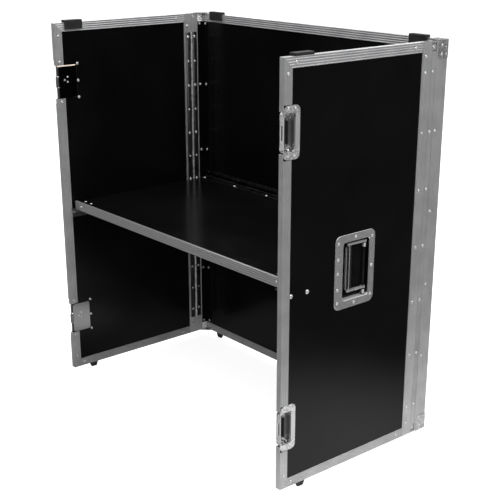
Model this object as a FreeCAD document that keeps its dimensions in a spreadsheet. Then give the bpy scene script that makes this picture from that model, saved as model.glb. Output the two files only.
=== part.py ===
import FreeCAD, Part
import math
import os
import Sketcher

# Fold-out stage booth: a rear fascia tray, two wings on piano hinges, and a shelf between them that
# folds up against the fascia. X runs to the user's right, Y from the open front to the fascia, Z up,
# with the origin on the floor under the middle of the booth. All lengths are millimetres.

SIZES = {
    # whole booth
    "booth_width": 838,
    "booth_depth": 457,
    "panel_height": 895,
    "return_depth": 37,
    # boards and aluminium edge channel
    "wing_ply": 9,
    "fascia_ply": 6,
    "rail_wall": 2,
    "rail_face": 21,
    # channels either side of the wing's hinge line
    "hinge_lap": 13,
    "seam_gap": 0.6,
    "lap_gap": 0.3,
    "wing_profile_outside": 42,
    "hinge_strip": 22,
    "end_window_width": 14,
    "end_window_height": 17,
    "end_window_from_end": 4,
    "corner_leg": 30,
    # pressed corner braces
    "brace_sheet": 1.5,
    "brace_leg": 30,
    "brace_height": 37,
    "brace_bevel": 13,
    # piano hinges
    "hinge_leaf": 1.2,
    "hinge_leaf_width": 17.5,
    "hinge_barrel": 2.2,
    "hinge_pin": 1.1,
    "hinge_bore_gap": 0.05,
    "hinge_end_gap": 47.5,
    "hinge_knuckle_gap": 0.4,
    "hinge_barrel_gap": 0.5,
    # shelf
    "shelf_height": 456,
    "shelf_board": 18,
    "shelf_lip": 1.5,
    "shelf_lip_depth": 6,
    "shelf_setback": 27,
    "shelf_end_gap": 5.4,
    "shelf_rear_gap": 1.5,
    "shelf_hinge_rise": 3,
    "shelf_hinge_end_gap": 0.6,
    # brackets under the shelf ends
    "bracket_sheet": 2,
    "bracket_length": 60,
    "bracket_drop": 22,
    "bracket_seat": 30,
    "bracket_rest_gap": 0.3,
    "bolt_first": 26,
    "bolt_spacing": 44,
    "bolt_below_shelf": 7.5,
    "bolt_radius": 2.5,
    "bolt_head_radius": 4.6,
    "bolt_head_height": 2.4,
    "bolt_nut_radius": 4,
    "bolt_nut_height": 2.2,
    # latch and catch dishes in the wings' front edges
    "dish_sheet": 1.2,
    "dish_corner": 11,
    "pan_corner": 6,
    "dish_cut_gap": 2,
    "latch_inset": 140,
    "latch_flange_height": 103,
    "latch_pan_height": 76,
    "latch_front": 5,
    "latch_pan_rear": 55,
    "latch_flange_rear": 68,
    "catch_front": 1,
    "catch_pan_rear": 32,
    "catch_flange_rear": 42,
    "dish_slot_height": 28,
    "dish_slot_depth": 7.2,
    # turning drum, folding wings and hook of each latch
    "pivot_radius": 3,
    "pivot_gap": 0.05,
    "pivot_cap": 0.5,
    "drum_radius": 11.5,
    "drum_thickness": 4,
    "latch_play": 0.3,
    "hook_thickness": 1.6,
    "hook_width": 25,
    "hook_tail": 45,
    "hook_tip_inset": 0.2,
    "hook_lip": 2,
    "hook_lip_rise": 4,
    "hook_travel": 8,
    "key_span": 36,
    "key_thickness": 1.6,
    "key_neck_width": 14,
    "key_neck_length": 4.2,
    "key_width": 22,
    "key_corner": 6,
    "key_barrel": 1.3,
    "key_pin": 0.75,
    "key_pin_spacing": 3.2,
    "key_rise": 1.6,
    "ear_thickness": 1.5,
    "ear_gap": 0.3,
    "ear_reach": 3,
    "ear_crown": 1,
    "strike_thickness": 2,
    "strike_height": 44,
    "strike_depth": 14,
    # lifting handle in the right wing
    "handle_from_front": 203,
    "handle_height": 446,
    "handle_flange_width": 115,
    "handle_flange_height": 160,
    "handle_flange_corner": 15,
    "handle_pan_width": 78,
    "handle_pan_shift": 4,
    "handle_pan_height": 128,
    "handle_pan_corner": 8,
    "handle_pan_depth": 13,
    "handle_rod": 2.5,
    "handle_rod_inset": 10,
    "handle_eye": 5.2,
    "handle_eye_length": 5,
    "handle_eye_inset": 4.5,
    "handle_spring_room": 14.5,
    "handle_bar": 3,
    "handle_bar_inset": 19,
    "handle_arm": 5,
    "handle_grip_width": 16,
    "handle_grip_thickness": 10,
    "handle_grip_length": 95,
    "handle_fit": 0.05,
    "liner_thickness": 1,
    "liner_margin": 4,
    "liner_length": 90,
    "spring_wire": 0.6,
    "spring_coil": 3.7,
    "spring_pitch": 2.2,
    "spring_leg": 16,
    # rubber pads on the top edges and feet underneath
    "pad_rise": 6,
    "pad_length": 48,
    "pad_leg": 15,
    "pad_leg_thickness": 5,
    "pad_from_front": 52,
    "pad_from_side": 73,
    "foot_height": 13,
    "foot_length": 26,
    "foot_width": 9.6,
    "foot_corner": 4,
    "foot_base_length": 16,
    "foot_base_width": 7.6,
    "foot_base_corner": 3,
    "foot_from_front": 63,
    "foot_from_side": 69,
    # every cut runs this far past the face it leaves through
    "overrun": 1,
}
# counts and angles
KNUCKLE_PAIRS = 9
BARREL_SIDES = 8
NUT_SIDES = 6
WIRE_SIDES = 5
SPRING_TURNS = 4
SPRING_SAMPLES = 40


class Size:
    """A length with its number and the sheet formula that it comes from."""

    def __init__(self, number, formula):
        self.number = number
        self.formula = formula

    def __add__(self, other):
        return Size(self.number + other.number, f"({self.formula} + {other.formula})")

    def __sub__(self, other):
        return Size(self.number - other.number, f"({self.formula} - {other.formula})")

    def __mul__(self, factor):
        return Size(self.number * factor, f"({self.formula} * {factor})")

    def __truediv__(self, factor):
        return Size(self.number / factor, f"({self.formula} / {factor})")

    def __neg__(self):
        return self * -1


class Sheet:
    """The driving sizes, each one an attribute that reads its cell."""


doc = FreeCAD.newDocument("booth")
sheet = doc.addObject("Spreadsheet::Sheet", "Sizes")
size = Sheet()
for row, (alias, number) in enumerate(SIZES.items(), start=1):
    sheet.set(f"A{row}", alias)
    sheet.set(f"B{row}", str(number))
    sheet.setAlias(f"B{row}", alias)
    setattr(size, alias, Size(number, f"Sizes.{alias}"))
doc.recompute()

ZERO = Size(0, "0")
nodes = []


def keep(thing, label):
    """Names a finished sub-part and puts it on the list of pieces to write."""
    thing.Label = label
    nodes.append(thing)
    return thing


def place(thing, x=ZERO, y=ZERO, z=ZERO):
    """Ties an object's position to sheet formulas."""
    for axis, length in zip("xyz", (x, y, z)):
        thing.setExpression(f".Placement.Base.{axis}", length.formula)


def turn(thing, *turns):
    """Turns an object by (axis, degrees) steps, the first one innermost."""
    rotation = FreeCAD.Rotation()
    for axis, degrees in turns:
        rotation = FreeCAD.Rotation(FreeCAD.Vector(*axis), degrees).multiply(rotation)
    thing.Placement = FreeCAD.Placement(thing.Placement.Base, rotation)


def mirrored(sign, span):
    """A low-high pair on the right side, or its mirror image on the left."""
    low, high = span
    return (low, high) if sign > 0 else (-high, -low)


def block(label, x, y, z):
    """A box between low-high pairs along the three axes."""
    box = doc.addObject("Part::Box", label)
    for name, (low, high) in zip(("Length", "Width", "Height"), (x, y, z)):
        box.setExpression(name, (high - low).formula)
    place(box, x[0], y[0], z[0])
    return box


def rod(label, radius, length, x, y, z, *turns):
    """A cylinder from a base point, along Z until it is turned."""
    cylinder = doc.addObject("Part::Cylinder", label)
    cylinder.setExpression("Radius", radius.formula)
    cylinder.setExpression("Height", length.formula)
    turn(cylinder, *turns)
    place(cylinder, x, y, z)
    return cylinder


def bar(label, sides, radius, length, x, y, z, *turns):
    """A flat-sided bar whose edges lie on a circle, from a base point, along Z until it is turned."""
    prism_bar = doc.addObject("Part::Prism", label)
    prism_bar.Polygon = sides
    prism_bar.setExpression("Circumradius", radius.formula)
    prism_bar.setExpression("Height", length.formula)
    turn(prism_bar, *turns)
    place(prism_bar, x, y, z)
    return prism_bar


def fuse(label, *shapes):
    """One solid, or one tool, out of several overlapping shapes."""
    joined = doc.addObject("Part::MultiFuse", label)
    joined.Shapes = list(shapes)
    joined.Refine = True
    return joined


def cut(label, base, *tools):
    """A shape less one or more tools."""
    removed = doc.addObject("Part::Cut", label)
    removed.Base = base
    removed.Tool = tools[0] if len(tools) == 1 else fuse(label + "_tools", *tools)
    removed.Refine = True
    return removed


def gather(label, *solids):
    """Like pieces that share one node as separate solids."""
    group = doc.addObject("Part::Compound", label)
    group.Links = list(solids)
    return keep(group, label)


def new_body(label):
    """An empty sketched body."""
    return doc.addObject("PartDesign::Body", label)


def plane_of(body, role):
    """One of a body's own origin planes."""
    return next(plane for plane in body.Origin.OriginFeatures if plane.Role == role)


def fix_point(sketch, geometry, end, u, v):
    """Ties one end of a sketch line or a circle's centre to its place in the sheet."""
    for kind, length in (("DistanceX", u), ("DistanceY", v)):
        rule = Sketcher.Constraint(kind, -1, 1, geometry, end, length.number)
        sketch.setExpression(f"Constraints[{sketch.addConstraint(rule)}]", length.formula)


def corner_ends(before, corner, after):
    """Where a rounded corner leaves its two straight sides, which run along U or V."""
    u, v, radius = corner
    ends = []
    for other in (before, after):
        along_u = other[0].number - u.number
        along_v = other[1].number - v.number
        if abs(along_u) > abs(along_v):
            ends.append((u + radius * math.copysign(1, along_u), v))
        else:
            ends.append((u, v + radius * math.copysign(1, along_v)))
    return ends


def draw_outline(sketch, corners):
    """A closed outline through (u, v) corners, or (u, v, radius) for a rounded one."""
    count = len(corners)
    ends = []
    for i, corner in enumerate(corners):
        before = corners[i - 1]
        after = corners[(i + 1) % count]
        ends.append(corner_ends(before, corner, after) if len(corner) > 2 else [corner, corner])
    for i, (arrive, leave) in enumerate(ends):
        target = ends[(i + 1) % count][0]
        start = FreeCAD.Vector(leave[0].number, leave[1].number)
        stop = FreeCAD.Vector(target[0].number, target[1].number)
        line = sketch.addGeometry(Part.LineSegment(start, stop))
        fix_point(sketch, line, 1, leave[0], leave[1])
        fix_point(sketch, line, 2, target[0], target[1])
    for i, corner in enumerate(corners):
        if len(corner) < 3:
            continue
        arrive, leave = [FreeCAD.Vector(u.number, v.number) for u, v in ends[i]]
        tip = FreeCAD.Vector(corner[0].number, corner[1].number)
        centre = arrive + leave - tip
        runs_left = (arrive - centre).cross(leave - centre).z > 0
        begin, end = (arrive, leave) if runs_left else (leave, arrive)
        angles = [math.atan2(point.y - centre.y, point.x - centre.x) for point in (begin, end)]
        circle = Part.Circle(centre, FreeCAD.Vector(0, 0, 1), corner[2].number)
        arc = sketch.addGeometry(Part.ArcOfCircle(circle, *angles))
        first, second = (1, 2) if runs_left else (2, 1)
        sketch.addConstraint(Sketcher.Constraint("Coincident", arc, first, (i - 1) % count, 2))
        sketch.addConstraint(Sketcher.Constraint("Coincident", arc, second, i, 1))
        rule = Sketcher.Constraint("Radius", arc, corner[2].number)
        sketch.setExpression(f"Constraints[{sketch.addConstraint(rule)}]", corner[2].formula)


def draw_circle(sketch, u, v, radius):
    """A circle in a sketch, tied to the sheet."""
    flat = FreeCAD.Vector(0, 0, 1)
    centre = FreeCAD.Vector(u.number, v.number)
    circle = sketch.addGeometry(Part.Circle(centre, flat, radius.number))
    fix_point(sketch, circle, 3, u, v)
    rule = Sketcher.Constraint("Radius", circle, radius.number)
    sketch.setExpression(f"Constraints[{sketch.addConstraint(rule)}]", radius.formula)


def draw(body, name, role, outline=(), circles=(), level=ZERO):
    """A sketch on an origin plane, raised by level along the plane's normal."""
    sketch = body.newObject("Sketcher::SketchObject", name)
    sketch.AttachmentSupport = [(plane_of(body, role), "")]
    sketch.MapMode = "FlatFace"
    sketch.setExpression(".AttachmentOffset.Base.z", level.formula)
    if outline:
        draw_outline(sketch, outline)
    for u, v, radius in circles:
        draw_circle(sketch, u, v, radius)
    return sketch


def pad(body, sketch, length):
    """Material added from a sketch along its normal."""
    feature = body.newObject("PartDesign::Pad", sketch.Name + "_pad")
    feature.Profile = sketch
    feature.setExpression("Length", length.formula)
    return feature


def pocket(body, sketch, length):
    """Material removed from a sketch along its normal."""
    feature = body.newObject("PartDesign::Pocket", sketch.Name + "_pocket")
    feature.Profile = sketch
    feature.Reversed = True
    feature.setExpression("Length", length.formula)
    return feature


def prism(label, role, outline, level, length, circles=()):
    """A finished body of one outline carried straight along the plane's normal."""
    body = new_body(label)
    pad(body, draw(body, label + "_outline", role, outline, circles, level), length)
    return keep(body, label)


def rectangle(u, v, radius=None):
    """A four-cornered outline between low-high pairs, with rounded corners if a radius is given."""
    corners = [(u[0], v[0]), (u[1], v[0]), (u[1], v[1]), (u[0], v[1])]
    return corners if radius is None else [corner + (radius,) for corner in corners]


def ring(u, v, radius, sides=BARREL_SIDES):
    """A regular outline whose flats touch a circle."""
    reach = 1 / math.cos(math.pi / sides)
    turns = [(2 * i + 1) * math.pi / sides for i in range(sides)]
    return [(u + radius * (reach * math.cos(angle)), v + radius * (reach * math.sin(angle)))
            for angle in turns]


def around(middle, width):
    """The low-high pair of a width about its middle."""
    return (middle - width / 2, middle + width / 2)


# levels that all the pieces share
front = -size.booth_depth / 2
back = size.booth_depth / 2 - size.brace_sheet
bottom = size.foot_height
top = size.foot_height + size.panel_height
outer = size.booth_width / 2
panel_out = outer - size.rail_wall
panel_in = panel_out - size.wing_ply
inner = panel_in - size.rail_wall
fascia_out = back - size.rail_wall
fascia_in = fascia_out - size.fascia_ply
fascia_inner_plane = fascia_in - size.rail_wall
wing_end = size.booth_depth / 2 - size.return_depth
hinge_line = wing_end - size.hinge_lap
return_front = hinge_line + size.seam_gap
board_bottom = bottom + size.rail_wall
board_top = top - size.rail_wall
side_names = {-1: "left", 1: "right"}


def channel_height(is_top, flange):
    """The heights of a top or bottom channel's outside and of the groove in it."""
    if is_top:
        return (top - flange, top), (top - flange - size.overrun, top - size.rail_wall)
    return (bottom, bottom + flange), (bottom + size.rail_wall, bottom + flange + size.overrun)


# rear fascia: a thin board with a channel along its top and bottom edges
keep(block("fascia_board", (-panel_out, panel_out), (fascia_in, fascia_out), (board_bottom, board_top)),
     "fascia_panel")
for is_top, end_name in ((True, "top"), (False, "bottom")):
    label = f"fascia_{end_name}_rail"
    outside, groove = channel_height(is_top, size.rail_face)
    corner_edge = outer - size.corner_leg
    past_end = panel_in + size.overrun
    keep(cut(
        label + "_channel",
        block(label + "_bar", (-panel_in, panel_in), (fascia_inner_plane, back), outside),
        block(label + "_groove", (-past_end, past_end), (fascia_in, fascia_out), groove),
        block(label + "_left_end", (-past_end, -corner_edge), (fascia_out, back + size.overrun), outside),
        block(label + "_right_end", (corner_edge, past_end), (fascia_out, back + size.overrun), outside),
    ), label)

# side returns that make the fascia a shallow tray, their front edge channels and outer corner angles
return_caps = []
for sign, side in side_names.items():
    keep(block(
        f"{side}_return", mirrored(sign, (panel_in, panel_out)),
        (return_front + size.rail_wall, fascia_in), (board_bottom, board_top),
    ), f"{side}_return_board")
    strip_end = return_front + size.hinge_strip
    lip = panel_out - size.lap_gap
    wall_end = return_front + size.rail_wall
    edge = [(inner, return_front), (lip, return_front), (lip, wall_end), (panel_in, wall_end),
            (panel_in, strip_end), (inner, strip_end)]
    corner = [(panel_out, wing_end + size.seam_gap), (outer, wing_end + size.seam_gap), (outer, back),
              (outer - size.corner_leg, back), (outer - size.corner_leg, fascia_out),
              (panel_out, fascia_out)]
    for label, outline in ((f"{side}_return_edge", edge), (f"{side}_corner_angle", corner)):
        prism(label, "XY_Plane", [(x * sign, y) for x, y in outline], bottom, size.panel_height)
    for is_top, end_name in ((True, "top"), (False, "bottom")):
        outside, groove = channel_height(is_top, size.rail_face)
        label = f"{side}_{end_name}_return_cap"
        along = (strip_end, fascia_inner_plane)
        return_caps.append(cut(
            label,
            block(label + "_bar", mirrored(sign, (inner, panel_out)), along, outside),
            block(label + "_groove", mirrored(sign, (panel_in, panel_out + size.overrun)),
                  (strip_end - size.overrun, fascia_inner_plane + size.overrun), groove),
        ))
gather("return_caps", *return_caps)

# pressed braces round the four outer rear corners, bevelled at the free ends of their legs
braces = []
for sign, side in side_names.items():
    for is_top, end_name in ((True, "top"), (False, "bottom")):
        label = f"{side}_{end_name}_brace"
        shell_x = (outer - size.brace_leg, outer + size.brace_sheet)
        shell_y = (back - size.brace_leg, back + size.brace_sheet)
        if is_top:
            shell_z = (top - size.brace_height, top + size.brace_sheet)
            hollow_z = (shell_z[0] - size.overrun, top)
        else:
            shell_z = (bottom - size.brace_sheet, bottom + size.brace_height)
            hollow_z = (bottom, shell_z[1] + size.overrun)
        body = new_body(label)
        shell = [(shell_x[1] * sign, shell_y[1]), (shell_x[1] * sign, shell_y[0]),
                 ((shell_x[1] - size.brace_bevel) * sign, shell_y[0]),
                 (shell_x[0] * sign, shell_y[1] - size.brace_bevel), (shell_x[0] * sign, shell_y[1])]
        pad(body, draw(body, label + "_shell", "XY_Plane", shell, level=shell_z[0]), shell_z[1] - shell_z[0])
        hollow = rectangle(mirrored(sign, (shell_x[0] - size.overrun, outer)),
                           (shell_y[0] - size.overrun, back))
        pocket(body, draw(body, label + "_hollow", "XY_Plane", hollow, level=hollow_z[0]),
               hollow_z[1] - hollow_z[0])
        braces.append(body)
gather("corner_braces", *braces)

# places of the dishes in the wings' front edges, of the shelf bolts and of the lifting handle
latch_heights = {"upper": top - size.latch_inset, "lower": bottom + size.latch_inset}
shelf_top = bottom + size.shelf_height
shelf_bottom = shelf_top - size.shelf_board - size.shelf_lip * 2
bolt_z = shelf_bottom - size.bolt_below_shelf
bolt_y = [front + size.bolt_first, front + size.bolt_first + size.bolt_spacing]
handle_y = front + size.handle_from_front
handle_pan_y = handle_y + size.handle_pan_shift
handle_z = bottom + size.handle_height
pan_rear = {-1: front + size.latch_pan_rear, 1: front + size.catch_pan_rear}
pan_front = {-1: front + size.latch_front, 1: front + size.catch_front}
flange_rear = {-1: front + size.latch_flange_rear, 1: front + size.catch_flange_rear}

def mitre_wedge(label, sign, is_top, is_front_rail):
    """What a 45 degree saw cut takes off the end of a front, top or bottom rail where the two meet."""
    edge, inwards = (top, -1) if is_top else (bottom, 1)
    near = (front - size.overrun, edge - size.overrun * inwards)
    far = (front + size.rail_face + size.overrun, edge + (size.rail_face + size.overrun) * inwards)
    square = (far[0], near[1]) if is_front_rail else (near[0], far[1])
    across = mirrored(sign, (inner - size.overrun, outer + size.overrun))
    body = new_body(label)
    pad(body, draw(body, label + "_outline", "YZ_Plane", [near, far, square], level=across[0]),
        across[1] - across[0])
    return body


# the two wings: laminated board, channels on three edges and the wide hinge channel on the fourth
notch_half = size.latch_pan_height / 2 + size.dish_cut_gap
for sign, side in side_names.items():
    board_front = front + size.rail_wall
    board_rear = hinge_line - size.rail_wall
    notch_rear = pan_rear[sign] + size.dish_cut_gap
    outline = [(board_front, board_bottom), (board_rear, board_bottom), (board_rear, board_top),
               (board_front, board_top)]
    for height in (latch_heights["upper"], latch_heights["lower"]):
        outline += [(board_front, height + notch_half), (notch_rear, height + notch_half),
                    (notch_rear, height - notch_half), (board_front, height - notch_half)]
    board_level = mirrored(sign, (panel_in, panel_out))[0]
    body = new_body(f"{side}_wing_panel")
    pad(body, draw(body, f"{side}_wing_outline", "YZ_Plane", outline, level=board_level), size.wing_ply)
    openings = {f"{side}_bolt_hole_{i}": ring(y, bolt_z, size.bolt_radius) for i, y in enumerate(bolt_y)}
    if sign > 0:
        across = around(handle_pan_y, size.handle_pan_width + size.dish_cut_gap)
        openings["handle_opening"] = rectangle(across,
                                               around(handle_z, size.handle_pan_height + size.dish_cut_gap))
    for name, opening in openings.items():
        sketch = draw(body, name, "YZ_Plane", opening, level=board_level - size.overrun)
        pocket(body, sketch, size.wing_ply + size.overrun * 2)
    keep(body, f"{side}_wing_panel")

    strip_start = hinge_line - size.hinge_strip
    outside_start = wing_end - size.wing_profile_outside
    for is_top, end_name in ((True, "top"), (False, "bottom")):
        label = f"{side}_wing_{end_name}_rail"
        outside, groove = channel_height(is_top, size.rail_face)
        along = (front, strip_start)
        keep(cut(
            label + "_channel",
            block(label + "_bar", mirrored(sign, (inner, outer)), along, outside),
            mitre_wedge(label + "_mitre", sign, is_top, False),
            block(label + "_groove", mirrored(sign, (panel_in, panel_out)),
                  (along[0] - size.overrun, along[1] + size.overrun), groove),
            block(label + "_notch", mirrored(sign, (panel_out, outer + size.overrun)),
                  (outside_start, along[1] + size.overrun), outside),
        ), label)

    label = f"{side}_wing_front_rail"
    gaps = [mitre_wedge(f"{label}_{end_name}_mitre", sign, is_top, True)
            for is_top, end_name in ((True, "top"), (False, "bottom"))]
    for name, height in latch_heights.items():
        gaps.append(block(f"{label}_{name}_gap", mirrored(sign, (inner - size.overrun, outer + size.overrun)),
                          (front - size.overrun, front + size.rail_face + size.overrun),
                          (height - notch_half, height + notch_half)))
        seat = around(height, size.latch_flange_height + size.dish_cut_gap)
        gaps.append(block(f"{label}_{name}_seat", mirrored(sign, (panel_out, outer + size.overrun)),
                          (front - size.overrun, front + size.rail_face + size.overrun), seat))
    keep(cut(
        label + "_channel",
        block(label + "_bar", mirrored(sign, (inner, outer)), (front, front + size.rail_face), (bottom, top)),
        block(label + "_groove", mirrored(sign, (panel_in, panel_out)),
              (front + size.rail_wall, front + size.rail_face + size.overrun),
              (bottom - size.overrun, top + size.overrun)),
        *gaps,
    ), label)

    profile = [(outer, outside_start), (outer, wing_end), (panel_out, wing_end), (panel_out, hinge_line),
               (inner, hinge_line), (inner, strip_start), (panel_in, strip_start), (panel_in, board_rear),
               (panel_out, board_rear), (panel_out, outside_start)]
    label = f"{side}_wing_hinge_profile"
    body = new_body(label)
    pad(body, draw(body, label + "_section", "XY_Plane", [(x * sign, y) for x, y in profile], level=bottom),
        size.panel_height)
    window = rectangle(mirrored(sign, (panel_out, outer + size.overrun)),
                       (wing_end - size.end_window_width, wing_end + size.overrun))
    for end_name, level in (("top", top - size.end_window_from_end - size.end_window_height),
                            ("bottom", bottom + size.end_window_from_end)):
        pocket(body, draw(body, f"{label}_{end_name}_window", "XY_Plane", window, level=level),
               size.end_window_height)
    keep(body, label)


def hinge_leaf(label, rise, length):
    """A rolled hinge leaf along local Z: a plate towards local X, with every second knuckle on the pin."""
    body = new_body(label)
    thickness = (-rise, size.hinge_leaf - rise)
    reach = size.hinge_barrel + size.hinge_barrel_gap
    pair = length / KNUCKLE_PAIRS
    plate = rectangle((reach, size.hinge_leaf_width), thickness)
    pad(body, draw(body, label + "_plate", "XY_Plane", plate), length)
    run = pair / 2 - size.hinge_knuckle_gap
    tongue = pad(body, draw(body, label + "_tongue", "XY_Plane", rectangle((ZERO, reach), thickness)), run)
    barrel = pad(body, draw(body, label + "_barrel", "XY_Plane", ring(ZERO, ZERO, size.hinge_barrel)), run)
    pattern = body.newObject("PartDesign::LinearPattern", label + "_knuckles")
    pattern.Originals = [tongue, barrel]
    pattern.Direction = (next(axis for axis in body.Origin.OriginFeatures if axis.Role == "Z_Axis"), [""])
    pattern.setExpression("Length", (length - pair).formula)
    pattern.Occurrences = KNUCKLE_PAIRS
    body.Tip = pattern
    bore = draw(body, label + "_bore", "XY_Plane",
                ring(ZERO, ZERO, size.hinge_pin + size.hinge_bore_gap), level=-size.overrun)
    body.Tip = pocket(body, bore, length + size.overrun * 2)
    return keep(body, label)


# piano hinges in the two inner corners: leaves flat on the channels, knuckles shared by turns
hinge_start = bottom + size.hinge_end_gap
hinge_length = size.panel_height - size.hinge_end_gap * 2
wing_axis_y = hinge_line + size.seam_gap / 2
up = (0, 0, 1)
along_x = (1, 0, 0)
along_y = (0, 1, 0)
for sign, side in side_names.items():
    axis_x = (inner - size.hinge_barrel) * sign
    lower_leaf, upper_leaf = ("return", "wing") if sign > 0 else ("wing", "return")
    leaf = hinge_leaf(f"{side}_hinge_{lower_leaf}_leaf", size.hinge_barrel, hinge_length)
    turn(leaf, (up, 90 * sign))
    place(leaf, axis_x, wing_axis_y, hinge_start)
    leaf = hinge_leaf(f"{side}_hinge_{upper_leaf}_leaf", size.hinge_barrel, hinge_length)
    turn(leaf, (along_y, 180), (up, 90 * sign))
    place(leaf, axis_x, wing_axis_y, hinge_start + hinge_length)
    keep(rod(f"{side}_pin", size.hinge_pin, hinge_length, axis_x, wing_axis_y, hinge_start),
         f"{side}_hinge_pin")

# shelf: a black board with an aluminium front edge, hinged to the fascia along its rear top edge
shelf_front = front + size.shelf_setback
shelf_end = inner - size.shelf_end_gap
shelf_board_top = shelf_top - size.shelf_lip
shelf_board_bottom = shelf_bottom + size.shelf_lip
keep(block("shelf_plank", (-shelf_end, shelf_end),
           (shelf_front + size.shelf_lip, fascia_in - size.shelf_rear_gap),
           (shelf_board_bottom, shelf_board_top)), "shelf_board")
keep(cut(
    "shelf_channel",
    block("shelf_edge_bar", (-shelf_end, shelf_end), (shelf_front, shelf_front + size.shelf_lip_depth),
          (shelf_bottom, shelf_top)),
    block("shelf_edge_groove", (-shelf_end - size.overrun, shelf_end + size.overrun),
          (shelf_front + size.shelf_lip, shelf_front + size.shelf_lip_depth + size.overrun),
          (shelf_board_bottom, shelf_board_top)),
), "shelf_front_edge")
shelf_axis_y = fascia_in - size.shelf_hinge_rise
shelf_axis_z = shelf_board_top + size.shelf_hinge_rise
shelf_hinge_end = shelf_end - size.shelf_hinge_end_gap
leaf = hinge_leaf("shelf_hinge_shelf_leaf", size.shelf_hinge_rise, shelf_hinge_end * 2)
turn(leaf, (along_x, 90), (up, -90))
place(leaf, shelf_hinge_end, shelf_axis_y, shelf_axis_z)
leaf = hinge_leaf("shelf_hinge_fascia_leaf", size.shelf_hinge_rise, shelf_hinge_end * 2)
turn(leaf, (along_y, 90), (along_x, 180))
place(leaf, -shelf_hinge_end, shelf_axis_y, shelf_axis_z)
keep(rod("shelf_pin", size.hinge_pin, shelf_hinge_end * 2, -shelf_hinge_end, shelf_axis_y, shelf_axis_z,
         (along_y, 90)), "shelf_hinge_pin")

# angle brackets under the shelf's front ends, each held by two bolts through its wing
bolts = []
for sign, side in side_names.items():
    label = f"{side}_shelf_bracket"
    seat_top = shelf_bottom - size.bracket_rest_gap
    along = around((bolt_y[0] + bolt_y[1]) / 2, size.bracket_length)
    leg_x = mirrored(sign, (panel_in - size.bracket_sheet, panel_in))
    seat_x = mirrored(sign, (panel_in - size.bracket_seat, panel_in))
    to_inside = (along_y, -90 * sign)
    holes = [bar(f"{label}_hole_{i}", BARREL_SIDES, size.bolt_radius, size.bracket_sheet + size.overrun * 2,
                 (panel_in + size.overrun) * sign, y, bolt_z, to_inside) for i, y in enumerate(bolt_y)]
    clear_x = mirrored(sign, (inner - size.lap_gap, panel_in + size.overrun))
    rail_corner = block(f"{label}_rail_clear", clear_x,
                        (along[0] - size.overrun, front + size.rail_face + size.lap_gap),
                        (seat_top - size.bracket_drop - size.overrun, seat_top + size.overrun))
    keep(cut(
        label + "_bent",
        fuse(label + "_sheet",
             block(label + "_leg", leg_x, along, (seat_top - size.bracket_drop, seat_top)),
             block(label + "_seat", seat_x, along, (seat_top - size.bracket_sheet, seat_top))),
        rail_corner, *holes,
    ), label)
    for i, y in enumerate(bolt_y):
        name = f"{side}_bolt_{i}"
        shank_length = size.wing_ply + size.bracket_sheet + size.bolt_nut_height
        head = bar(name + "_head", BARREL_SIDES, size.bolt_head_radius, size.bolt_head_height,
                   panel_out * sign, y, bolt_z, (along_y, 90 * sign))
        shank = bar(name + "_shank", BARREL_SIDES, size.bolt_radius, shank_length,
                    panel_out * sign, y, bolt_z, to_inside)
        nut = bar(name + "_nut", NUT_SIDES, size.bolt_nut_radius, size.bolt_nut_height,
                  (panel_in - size.bracket_sheet) * sign, y, bolt_z, to_inside)
        bolts.append(fuse(name, head, shank, nut))
gather("shelf_bracket_bolts", *bolts)


def pressed_dish(label, sign, flange_y, flange_z, flange_corner, pan_y, pan_z, pan_corner, levels):
    """A pressed steel dish: a flange on the board's outer face round a pan with rounded corners.

    flange_y and pan_y are low-high pairs, and levels holds the flange face, pan floor and pan back as
    distances from the booth's middle on the right side.
    """
    face, floor, back_face = levels
    body = new_body(label)
    flange_x = mirrored(sign, (face - size.dish_sheet, face))
    pad(body, draw(body, label + "_flange", "YZ_Plane", rectangle(flange_y, flange_z, flange_corner),
                   level=flange_x[0]), size.dish_sheet)
    pan_x = mirrored(sign, (back_face, face))
    pad(body, draw(body, label + "_pan", "YZ_Plane", rectangle(pan_y, pan_z, pan_corner), level=pan_x[0]),
        pan_x[1] - pan_x[0])
    inside_y = (pan_y[0] + size.dish_sheet, pan_y[1] - size.dish_sheet)
    inside_z = (pan_z[0] + size.dish_sheet, pan_z[1] - size.dish_sheet)
    inside_x = mirrored(sign, (floor, face + size.overrun))
    inside = rectangle(inside_y, inside_z, pan_corner - size.dish_sheet)
    pocket(body, draw(body, label + "_hollow", "YZ_Plane", inside, level=inside_x[0]),
           inside_x[1] - inside_x[0])
    return body


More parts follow.
